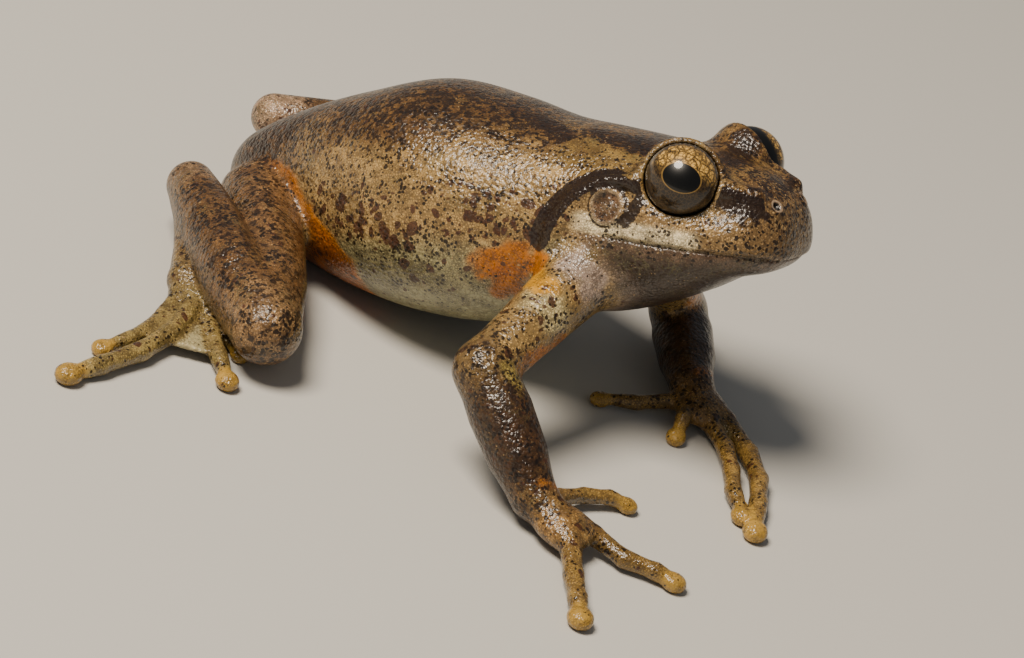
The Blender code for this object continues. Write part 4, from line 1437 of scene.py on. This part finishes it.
    def arm_spots(self, canvas: Canvas, arm: Arm) -> None:
        """Colour the inner edge, the crook, the wrist and the web of one arm.

        Args:
            canvas: the skin that is painted.
            arm: the arm.
        """
        places, ragged, lay = canvas.places, canvas.ragged, canvas.lay
        lay(self.orange, arm.inner_edge().cover(places, ragged) * canvas.share("upper"),
            dark=0.0, speck=0.14, blotch=0.0, grain=0.26)
        lay(self.crook, arm.crook().cover(places, ragged) * canvas.share("upper", "fore"),
            dark=0.24, speck=0.44, blotch=0.0, grain=0.4)
        lay(self.orange, arm.wrist_spot().cover(places) * 0.7, dark=0.1, grain=0.3)
        lay(self.web, arm.finger_web().cover(places) * 0.7, dark=0.0, speck=0.1)

    def leg_spots(self, canvas: Canvas, leg: Leg, side: Side) -> None:
        """Colour the knee, the heel, the thigh's edge and the web of one leg.

        Args:
            canvas: the skin that is painted.
            leg: the leg.
            side: the frog's side that it is on.
        """
        places, share, lay = canvas.places, canvas.share, canvas.lay
        knee = step(np.linalg.norm(places - leg.knee, axis=1), *self.knee_reach)
        lay(self.knee, knee * share("thigh", "shank") * 0.7, dark=0.34, speck=0.5)
        heel = step(np.linalg.norm(places - leg.heel, axis=1), *self.heel_reach)
        lay(self.heel, heel * share("shank", "tarsus") * self.heel_shares[side], dark=0.16, speck=0.3)
        lay(self.thigh_edge, leg.edge(side).cover(places) * share(f"thigh_{side.value}"),
            dark=0.3, speck=0.48, grain=0.46)
        web = step(leg.web(places), *self.web_edge) * step(leg.off_bones(places), *self.web_off_bones)
        lay(self.web, web, dark=0.0, speck=0.14, grain=0.1, wet=0.8)

    def paint(self, mesh: bpy.types.Mesh, places: np.ndarray, body: Body) -> None:
        """Write the tint, and the cover of each kind of marking, as attributes of the mesh.

        Args:
            mesh: the skin's mesh.
            places: its vertices in millimetres, on the floor's axes.
            body: the body that the skin lies on.
        """
        canvas = Canvas(places, body)
        self.flanks(canvas)
        canvas.roughen()
        for part in (self.skull, self.mouth, self.eyes_and_ears, self.groin, self.limbs, self.armpits):
            part(canvas)
        for side in Side:
            arm, leg = ARMS[side], LEGS[side]
            self.arm_spots(canvas, arm)
            self.leg_spots(canvas, leg, side)
            for digit in arm.digits() + leg.digits():
                disc = step(digit.disc(places), *self.disc_edge)
                canvas.lay(self.disc, disc, dark=0.0, speck=0.14, grain=0.12, wet=0.9)
        canvas.write(mesh)


def add_node(tree: bpy.types.NodeTree, kind: str, inputs: dict | None = None, **settings) -> bpy.types.Node:
    """Add a node with its settings, values and links.

    Args:
        tree: the node tree to add to.
        kind: the node's type name.
        inputs: a value or an output socket for each input, by name or number.
        settings: the node's own properties.

    Returns:
        The new node.
    """
    node = tree.nodes.new(kind)
    for name, value in settings.items():
        setattr(node, name, value)
    for key, value in (inputs or {}).items():
        socket = node.inputs[key]
        if isinstance(value, bpy.types.NodeSocket):
            tree.links.new(value, socket)
        else:
            socket.default_value = value
    return node


class Edge(Enum):
    """How a tone starts."""

    SOFT = "SMOOTHSTEP"
    EVEN = "LINEAR"


def tinted(tree: bpy.types.NodeTree, colour: bpy.types.NodeSocket | tuple[float, ...], tone: str,
           value: bpy.types.NodeSocket, limits: tuple[float, float], strength: float = 1.0,
           edge: Edge = Edge.SOFT) -> bpy.types.NodeSocket:
    """Lay a tone over a colour where a value passes its limits.

    Args:
        tree: the node tree.
        colour: the colour so far.
        tone: the tone's hex digits.
        value: what decides where the tone shows.
        limits: the value where the tone starts, and where it is full.
        strength: how much of the colour it covers there.
        edge: how it starts.

    Returns:
        The colour with the tone.
    """
    mask = add_node(tree, "ShaderNodeMapRange", {
        "Value": value, "From Min": limits[0], "From Max": limits[1], "To Max": strength},
        interpolation_type=edge.value)
    mix = add_node(tree, "ShaderNodeMix", {
        "Factor": mask.outputs["Result"], 6: colour, 7: (*linear(tone), 1.0)}, data_type="RGBA")
    return mix.outputs[2]


class Pattern(Enum):
    """The ways that pigment gathers."""

    CLOUD = "cloud"
    DOTS = "dots"
    NET = "net"


@dataclass(frozen=True)
class Marking:
    """One kind of pigment mark: where the mesh says how much of the skin it covers."""

    cover: str
    colour: str
    pattern: Pattern
    size_mm: float
    edge: float
    strength: float

    def value(self, tree: bpy.types.NodeTree, where: bpy.types.NodeSocket) -> bpy.types.NodeSocket:
        """Return a value from 0 to 1 over the skin: the higher, the sooner pigment shows.

        Args:
            tree: the skin's node tree.
            where: the places on the skin.

        Returns:
            The value.
        """
        if self.pattern is Pattern.CLOUD:
            noise = add_node(tree, "ShaderNodeTexNoise", {
                "Vector": where, "Scale": PER_METRE / self.size_mm, "Detail": 5.0, "Roughness": 0.58,
                "Distortion": 0.5})
            return add_node(tree, "ShaderNodeMapRange", {
                "Value": noise.outputs["Fac"], "From Min": 0.28, "From Max": 0.72}).outputs["Result"]
        swirl = add_node(tree, "ShaderNodeTexNoise", {
            "Vector": where, "Scale": PER_METRE / (self.size_mm * 1.3), "Detail": 2.0})
        drift = (self.size_mm * 1.1 * MM,) * 3
        shift = add_node(tree, "ShaderNodeVectorMath", {
            0: swirl.outputs["Color"], 1: drift, 2: where}, operation="MULTIPLY_ADD")
        net = self.pattern is Pattern.NET
        cells = add_node(tree, "ShaderNodeTexVoronoi", {
            "Vector": shift.outputs["Vector"], "Scale": PER_METRE / self.size_mm},
            feature="DISTANCE_TO_EDGE" if net else "F1")
        herd = add_node(tree, "ShaderNodeTexNoise", {
            "Vector": where, "Scale": PER_METRE / (self.size_mm * 4.5), "Detail": 1.0})
        base = add_node(tree, "ShaderNodeMath", {
            0: herd.outputs["Fac"], 1: 1.3, 2: 0.3 if net else -0.02}, operation="MULTIPLY_ADD")
        if not net:
            chance = add_node(tree, "ShaderNodeSeparateColor", {0: cells.outputs["Color"]})
            base = add_node(tree, "ShaderNodeMath", {
                0: chance.outputs["Red"], 1: 0.7, 2: base.outputs["Value"]}, operation="MULTIPLY_ADD")
        return add_node(tree, "ShaderNodeMath", {
            0: cells.outputs["Distance"], 1: -2.2 if net else -1.7, 2: base.outputs["Value"]},
            operation="MULTIPLY_ADD").outputs["Value"]


@dataclass(frozen=True)
class MoistSkin:
    """Living frog skin: thin, moist and finely granular, with pigment cells below a clear film.

    The film makes small sharp highlights on every granule, and light spreads a little below it.
    """

    dry_roughness: float = 0.5
    wet_smoother: float = 0.22
    patchy: float = 0.3
    ior: float = 1.4
    film: float = 0.5
    film_roughness: float = 0.13
    flesh: float = 0.08
    flesh_spread: Spot = (1.0, 0.55, 0.3)
    flesh_depth_mm: float = 0.6
    cloud_mm: float = 2.4
    cloud_shade: tuple[float, float] = (0.7, 1.18)
    # size and depth in millimetres of the granules, of the fine grain and of the slack folds
    granules: tuple[float, float] = (0.42, 0.09)
    fine_grain: tuple[float, float] = (0.19, 0.03)
    folds: tuple[float, float] = (2.6, 0.16)
    mark_shift: Spot = (0.031, 0.017, 0.053)
    markings: tuple[Marking, ...] = (
        Marking("net", "6f6a44", Pattern.NET, 0.62, 0.25, 0.5),
        Marking("blotch", "4b281a", Pattern.DOTS, 1.5, 0.06, 0.92),
        Marking("blotch", "4b281a", Pattern.DOTS, 0.95, 0.06, 0.88),
        Marking("dark", "4f321c", Pattern.CLOUD, 2.2, 0.34, 0.55),
        Marking("dark", "21140c", Pattern.CLOUD, 0.72, 0.1, 0.93),
        # pale golden flecks: partly the skin's own and partly painted glints on the granules
        Marking("pale", "d6b27a", Pattern.DOTS, 0.3, 0.2, 0.6),
        Marking("grain", "2b1c0e", Pattern.NET, 0.25, 0.3, 0.64),
        Marking("speck", "160d07", Pattern.DOTS, 0.42, 0.08, 0.93),
    )
    stripe: str = "1c0f09"
    stripe_edge_mm: float = 0.7
    stripe_limits: tuple[float, float] = (0.82, 1.02)
    stripe_strength: float = 0.95
    # tone, radius and softness in millimetres, and strength of the nostril's edge and of its inside; the
    # dark inside is painted shade, as in a hole
    nostril: tuple[tuple[str, float, float, float], ...] = (
        ("a8927a", 0.66, 0.08, 0.7), ("0a0604", 0.46, 0.06, 1.0))

    def nostril_tint(self, tree: bpy.types.NodeTree, where: bpy.types.NodeSocket,
                     colour: bpy.types.NodeSocket, side: Side) -> bpy.types.NodeSocket:
        """Paint shade into one nostril, as into a hole, and lighten its edge.

        Args:
            tree: the skin's node tree.
            where: the places on the skin.
            colour: the skin's colour so far.
            side: the nostril's side.

        Returns:
            The colour with the nostril.
        """
        place = np.array(TRUNK.nostril_place) * (1.0, side.sign, 1.0)
        place = STANCE.to_scene(STANCE.to_floor(place))
        gap = add_node(tree, "ShaderNodeVectorMath", {0: where, 1: tuple(place)}, operation="DISTANCE")
        for tone, radius, soft, strength in self.nostril:
            limits = ((radius + soft) * MM, (radius - soft) * MM)
            colour = tinted(tree, colour, tone, gap.outputs["Value"], limits, strength)
        return colour

    def pigment(self, tree: bpy.types.NodeTree, where: bpy.types.NodeSocket,
                cloud: bpy.types.NodeSocket) -> bpy.types.NodeSocket:
        """Shade the tint in clouds, and lay every marking over it.

        Args:
            tree: the skin's node tree.
            where: the places on the skin.
            cloud: a slow swell from dark to light.

        Returns:
            The skin's colour.
        """
        tint = add_node(tree, "ShaderNodeAttribute", attribute_name="tint")
        darkest, lightest = self.cloud_shade
        shade = add_node(tree, "ShaderNodeMapRange", {
            "Value": cloud, "From Min": 0.3, "From Max": 0.7, "To Min": darkest, "To Max": lightest})
        colour = add_node(tree, "ShaderNodeVectorMath", {
            0: tint.outputs["Color"], "Scale": shade.outputs["Result"]}, operation="SCALE")
        colour = colour.outputs["Vector"]
        for i, mark in enumerate(self.markings):
            shift = tuple(way * i for way in self.mark_shift)
            place = add_node(tree, "ShaderNodeVectorMath", {0: where, 1: shift}, operation="ADD")
            cover = add_node(tree, "ShaderNodeAttribute", attribute_name=mark.cover)
            total = add_node(tree, "ShaderNodeMath", {
                0: mark.value(tree, place.outputs["Vector"]), 1: cover.outputs["Fac"]}, operation="ADD")
            limits = (1.0 - mark.edge, 1.0 + mark.edge)
            colour = tinted(tree, colour, mark.colour, total.outputs["Value"], limits, mark.strength)
        ragged = add_node(tree, "ShaderNodeTexNoise", {
            "Vector": where, "Scale": PER_METRE / self.stripe_edge_mm, "Detail": 4.0})
        stripe = add_node(tree, "ShaderNodeAttribute", attribute_name="stripe")
        total = add_node(tree, "ShaderNodeMath", {
            0: ragged.outputs["Fac"], 1: stripe.outputs["Fac"]}, operation="ADD")
        colour = tinted(tree, colour, self.stripe, total.outputs["Value"], self.stripe_limits,
                        self.stripe_strength)
        for side in Side:
            colour = self.nostril_tint(tree, where, colour, side)
        return colour

    def gloss(self, tree: bpy.types.NodeTree, cloud: bpy.types.NodeSocket) -> bpy.types.NodeSocket:
        """Make the skin smoother where it is wet, and a little uneven everywhere.

        Args:
            tree: the skin's node tree.
            cloud: a slow swell from dark to light.

        Returns:
            The skin's roughness.
        """
        wet = add_node(tree, "ShaderNodeAttribute", attribute_name="wet")
        dry = add_node(tree, "ShaderNodeMath", {
            0: wet.outputs["Fac"], 1: -self.wet_smoother, 2: self.dry_roughness}, operation="MULTIPLY_ADD")
        patchy = add_node(tree, "ShaderNodeMath", {
            0: cloud, 1: self.patchy, 2: -self.patchy / 2}, operation="MULTIPLY_ADD")
        rough = add_node(tree, "ShaderNodeMath", {
            0: dry.outputs["Value"], 1: patchy.outputs["Value"]}, operation="ADD")
        return rough.outputs["Value"]

    def relief(self, tree: bpy.types.NodeTree, where: bpy.types.NodeSocket) -> bpy.types.NodeSocket:
        """Raise the granules and the fine grain, and let the skin swell in slack folds.

        Args:
            tree: the skin's node tree.
            where: the places on the skin.

        Returns:
            The skin's normal.
        """
        normal = None
        cells, swells = "ShaderNodeTexVoronoi", "ShaderNodeTexNoise"
        for (size, depth), kind in ((self.granules, cells), (self.fine_grain, cells), (self.folds, swells)):
            grain = add_node(tree, kind, {"Vector": where, "Scale": PER_METRE / size})
            below = {} if normal is None else {"Normal": normal}
            bump = add_node(tree, "ShaderNodeBump", {
                "Height": grain.outputs[0], "Strength": 1.0, "Distance": depth * MM, **below},
                invert=kind == cells)
            normal = bump.outputs["Normal"]
        return normal

    def material(self) -> bpy.types.Material:
        """Return the skin's material.

        Returns:
            The material.
        """
        made = bpy.data.materials.new("moist_frog_skin")
        made.use_nodes = True
        tree = made.node_tree
        shader = tree.nodes["Principled BSDF"]
        where = add_node(tree, "ShaderNodeTexCoord").outputs["Object"]
        cloud = add_node(tree, "ShaderNodeTexNoise", {
            "Vector": where, "Scale": PER_METRE / self.cloud_mm, "Detail": 5.0}).outputs["Fac"]
        tree.links.new(self.pigment(tree, where, cloud), shader.inputs["Base Color"])
        tree.links.new(self.gloss(tree, cloud), shader.inputs["Roughness"])
        normal = self.relief(tree, where)
        tree.links.new(normal, shader.inputs["Normal"])
        tree.links.new(normal, shader.inputs["Coat Normal"])
        shader.inputs["IOR"].default_value = self.ior
        shader.inputs["Coat Weight"].default_value = self.film
        shader.inputs["Coat Roughness"].default_value = self.film_roughness
        shader.inputs["Subsurface Weight"].default_value = self.flesh
        shader.inputs["Subsurface Radius"].default_value = self.flesh_spread
        shader.inputs["Subsurface Scale"].default_value = self.flesh_depth_mm * MM
        return made


@dataclass(frozen=True)
class WetEye:
    """A living eye: a clear wet front over a gold and bronze iris with a level, oval pupil.

    The clear front gives one sharp window-like highlight; the iris is netted with dark veins.
    """

    gold: str = "d8ab58"
    bronze: str = "221809"
    band: str = "2c1e0c"
    vein: str = "150d06"
    black: str = "030302"
    thread: str = "7a5c2c"
    roughness: float = 0.35
    ior: float = 1.38
    film_roughness: float = 0.03
    # heights on the iris where bronze turns to gold, and how far the dark level band reaches
    gold_from_mm: tuple[float, float] = (-0.6, 1.0)
    band_mm: tuple[float, float] = (0.75, 0.1)
    band_strength: float = 0.8
    warp_mm: float = 0.9
    warp_depth_mm: float = 0.6
    # spacing in millimetres, and width as a share of it
    veins: tuple[tuple[float, float], ...] = ((0.8, 0.18), (0.36, 0.14))
    vein_core: float = 0.01
    vein_strength: float = 0.9
    thread_mm: float = 0.34
    thread_width: tuple[float, float] = (0.12, 0.02)
    thread_strength: float = 0.26
    pupil_half_mm: tuple[float, float] = (1.76, 1.3)
    pupil_edge: tuple[float, float] = (1.04, 0.99)
    glow_edge: tuple[float, float] = (1.09, 1.03)
    glow_strength: float = 0.42
    rim_mm: tuple[float, float] = (2.96, 3.28)

    def reach(self, tree: bpy.types.NodeTree, where: bpy.types.NodeSocket,
              half_mm: tuple[float, float]) -> bpy.types.NodeSocket:
        """Return the distance from the middle of the iris, 1 at the edge of an oval of that size.

        Args:
            tree: the eye's node tree.
            where: the places on the eye.
            half_mm: half the oval's width and height.

        Returns:
            The distance.
        """
        scale = (PER_METRE / half_mm[0], PER_METRE / half_mm[1], 0.0)
        oval = add_node(tree, "ShaderNodeVectorMath", {0: where, 1: scale}, operation="MULTIPLY")
        return add_node(tree, "ShaderNodeVectorMath", {0: oval.outputs["Vector"]},
                        operation="LENGTH").outputs["Value"]

    def netted(self, tree: bpy.types.NodeTree, where: bpy.types.NodeSocket,
               iris: bpy.types.NodeSocket) -> bpy.types.NodeSocket:
        """Lay the nets of veins and of fine threads over the iris.

        Args:
            tree: the eye's node tree.
            where: the places on the eye.
            iris: the iris's colour so far.

        Returns:
            The colour with the nets.
        """
        warp = add_node(tree, "ShaderNodeTexNoise", {
            "Vector": where, "Scale": PER_METRE / self.warp_mm, "Detail": 3.0})
        bent = add_node(tree, "ShaderNodeVectorMath", {
            0: warp.outputs["Color"], 1: (self.warp_depth_mm * MM,) * 3}, operation="MULTIPLY")
        place = add_node(tree, "ShaderNodeVectorMath", {
            0: where, 1: bent.outputs["Vector"]}, operation="ADD").outputs["Vector"]
        nets = [(self.vein, size, (width, self.vein_core), self.vein_strength) for size, width in self.veins]
        nets.append((self.thread, self.thread_mm, self.thread_width, self.thread_strength))
        for tone, size, limits, strength in nets:
            net = add_node(tree, "ShaderNodeTexVoronoi", {
                "Vector": place, "Scale": PER_METRE / size}, feature="DISTANCE_TO_EDGE")
            iris = tinted(tree, iris, tone, net.outputs["Distance"], limits, strength, Edge.EVEN)
        return iris

    def material(self) -> bpy.types.Material:
        """Return the eye's material.

        Returns:
            The material.
        """
        made = bpy.data.materials.new("wet_eye")
        made.use_nodes = True
        tree = made.node_tree
        shader = tree.nodes["Principled BSDF"]
        where = add_node(tree, "ShaderNodeTexCoord").outputs["Object"]
        height = add_node(tree, "ShaderNodeSeparateXYZ", {0: where}).outputs["Y"]
        level = add_node(tree, "ShaderNodeMath", {0: height}, operation="ABSOLUTE").outputs["Value"]
        gold_from = tuple(mm * MM for mm in self.gold_from_mm)
        band = tuple(mm * MM for mm in self.band_mm)
        iris = tinted(tree, (*linear(self.bronze), 1.0), self.gold, height, gold_from)
        iris = tinted(tree, iris, self.band, level, band, self.band_strength)
        iris = self.netted(tree, where, iris)
        from_pupil = self.reach(tree, where, self.pupil_half_mm)
        iris = tinted(tree, iris, self.gold, from_pupil, self.glow_edge, self.glow_strength, Edge.EVEN)
        iris = tinted(tree, iris, self.black, from_pupil, self.pupil_edge, edge=Edge.EVEN)
        iris = tinted(tree, iris, self.black, self.reach(tree, where, (1.0, 1.0)), self.rim_mm)
        tree.links.new(iris, shader.inputs["Base Color"])
        shader.inputs["Roughness"].default_value = self.roughness
        shader.inputs["IOR"].default_value = self.ior
        shader.inputs["Coat Weight"].default_value = 1.0
        shader.inputs["Coat Roughness"].default_value = self.film_roughness
        shader.inputs["Coat IOR"].default_value = self.ior
        return made


@dataclass
class Skin:
    """The one skin that stands for all the nodes of flesh."""

    body: Body = field(default_factory=Body)
    finish: MoistSkin = field(default_factory=MoistSkin)
    markings: Markings = field(default_factory=Markings)

    def build(self, nodes: list[str]) -> bpy.types.Object:
        """Build and dress the skin.

        Args:
            nodes: the frame's nodes that the skin stands for.

        Returns:
            The skin's object.
        """
        places, quads = SkinNet(self.body).build()
        mesh = bpy.data.meshes.new("frog_skin")
        mesh.from_pydata(STANCE.to_scene(places).tolist(), [], quads.tolist())
        mesh.update()
        self.markings.paint(mesh, places, self.body)
        mesh.materials.append(self.finish.material())
        made = bpy.data.objects.new("frog_skin", mesh)
        bpy.context.collection.objects.link(made)
        mesh.shade_smooth()
        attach(made, "root")
        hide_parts(*nodes)
        return made


@dataclass
class Eye:
    """One eyeball, turned to look out of its lids."""

    side: Side
    radius: float = TRUNK.eye_radius
    finish: WetEye = field(default_factory=WetEye)

    def build(self) -> bpy.types.Object:
        """Build and dress the eyeball.

        Returns:
            The eyeball's object.
        """
        out = TRUNK.eye_direction() * (1.0, self.side.sign, 1.0)
        centre = STANCE.to_floor(np.array(TRUNK.eye_place) * (1.0, self.side.sign, 1.0))
        look = Vector(out @ STANCE.axes())
        level = Vector((0.0, 0.0, 1.0)).cross(look).normalized()
        turn = Matrix((level, look.cross(level), look)).transposed()
        bpy.ops.mesh.primitive_uv_sphere_add(segments=64, ring_count=48, radius=self.radius * MM)
        eye = bpy.context.object
        eye.name = f"eyeball_{self.side.value}"
        eye.matrix_world = Matrix.Translation(Vector(STANCE.to_scene(centre))) @ turn.to_4x4()
        eye.data.materials.append(self.finish.material())
        eye.data.shade_smooth()
        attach(eye, "root")
        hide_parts(f"eye_{self.side.value}")
        return eye


@dataclass(frozen=True)
class Lamp:
    """A soft round panel light that looks at a place, sized in metres."""

    name: str
    place: Spot
    size: float
    watts: float
    colour: str
    glossy: bool = True
    aim: Spot = (0.0, 0.0, 0.01)

    def build(self) -> None:
        """Add the light."""
        data = bpy.data.lights.new(self.name, "AREA")
        data.shape = "DISK"
        data.size = self.size
        data.energy = self.watts
        data.color = linear(self.colour)
        lamp = bpy.data.objects.new(self.name, data)
        bpy.context.collection.objects.link(lamp)
        lamp.location = self.place
        lamp.rotation_mode = "QUATERNION"
        lamp.rotation_quaternion = (Vector(self.aim) - Vector(self.place)).to_track_quat("-Z", "Y")
        lamp.visible_glossy = self.glossy


@dataclass(frozen=True)
class Studio:
    """A plain pale floor of matt paper, soft lights and the camera."""

    camera_place: Spot = (107.09, -307.37, 176.02)
    camera_view: Spot = (-0.3216, 0.8282, -0.459)
    camera_up: Spot = (-0.4488, 0.2935, 0.844)
    lens: float = 137.6
    sensor_width: float = 36.0
    clip_m: tuple[float, float] = (0.01, 20.0)
    lamps: tuple[Lamp, ...] = (
        Lamp("key", (-0.15, -0.25, 0.55), 0.26, 6.2, "fff1df"),
        Lamp("fill", (0.6, -0.6, 0.35), 0.9, 0.6, "eef4ff", glossy=False),
    )
    paper: str = "c4c2bb"
    paper_roughness: float = 0.9
    floor_size_m: float = 6.0
    floor_height_m: float = -0.00002
    sky: str = "d8dade"
    sky_strength: float = 0.2

    def floor(self) -> None:
        """Add the floor."""
        place = (0.0, 0.0, self.floor_height_m)
        bpy.ops.mesh.primitive_plane_add(size=self.floor_size_m, location=place)
        plane = bpy.context.object
        plane.name = "floor"
        paper = bpy.data.materials.new("pale_paper")
        paper.use_nodes = True
        shader = paper.node_tree.nodes["Principled BSDF"]
        shader.inputs["Base Color"].default_value = (*linear(self.paper), 1.0)
        shader.inputs["Roughness"].default_value = self.paper_roughness
        plane.data.materials.append(paper)
        plane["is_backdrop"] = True

    def world(self) -> None:
        """Add the even light of the room."""
        world = bpy.data.worlds.new("studio")
        world.use_nodes = True
        background = world.node_tree.nodes["Background"]
        background.inputs["Color"].default_value = (*linear(self.sky), 1.0)
        background.inputs["Strength"].default_value = self.sky_strength
        bpy.context.scene.world = world

    def camera(self) -> None:
        """Add the camera."""
        data = bpy.data.cameras.new("camera")
        data.lens = self.lens
        data.sensor_width = self.sensor_width
        data.clip_start = self.clip_m[0]
        data.clip_end = self.clip_m[1]
        camera = bpy.data.objects.new("camera", data)
        bpy.context.collection.objects.link(camera)
        back = Vector(-unit(self.camera_view))
        right = Vector(unit(self.camera_up)).cross(back).normalized()
        turn = Matrix((right, back.cross(right), back)).transposed()
        place = STANCE.to_scene(np.array(self.camera_place))
        camera.matrix_world = Matrix.Translation(Vector(place)) @ turn.to_4x4()
        bpy.context.scene.camera = camera

    def build(self) -> None:
        """Build the floor, the lights and the camera."""
        self.floor()
        for lamp in self.lamps:
            lamp.build()
        self.world()
        self.camera()


def corners(box: tuple[Vector, Vector]) -> list[list[float]]:
    """Return a box's corners as plain lists."""
    return [list(corner) for corner in box]


def main() -> None:
    """Build the frog in its studio."""
    logging.basicConfig(level=logging.INFO, format="%(message)s")
    for old in list(bpy.data.objects):
        bpy.data.objects.remove(old, do_unlink=True)
    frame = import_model()
    cad_box = corners(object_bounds())
    flesh = [name for name in frame["nodes"] if not name.startswith("eye_")]
    skin = Skin().build(flesh)
    LOG.info("skin: %d faces", len(skin.data.polygons))
    for side in Side:
        eye = Eye(side).build()
        LOG.info("%s: %d faces", eye.name, len(eye.data.polygons))
    Studio().build()
    {"cad": cad_box, "visual": corners(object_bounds())}


if __name__ == "__main__":
    main()
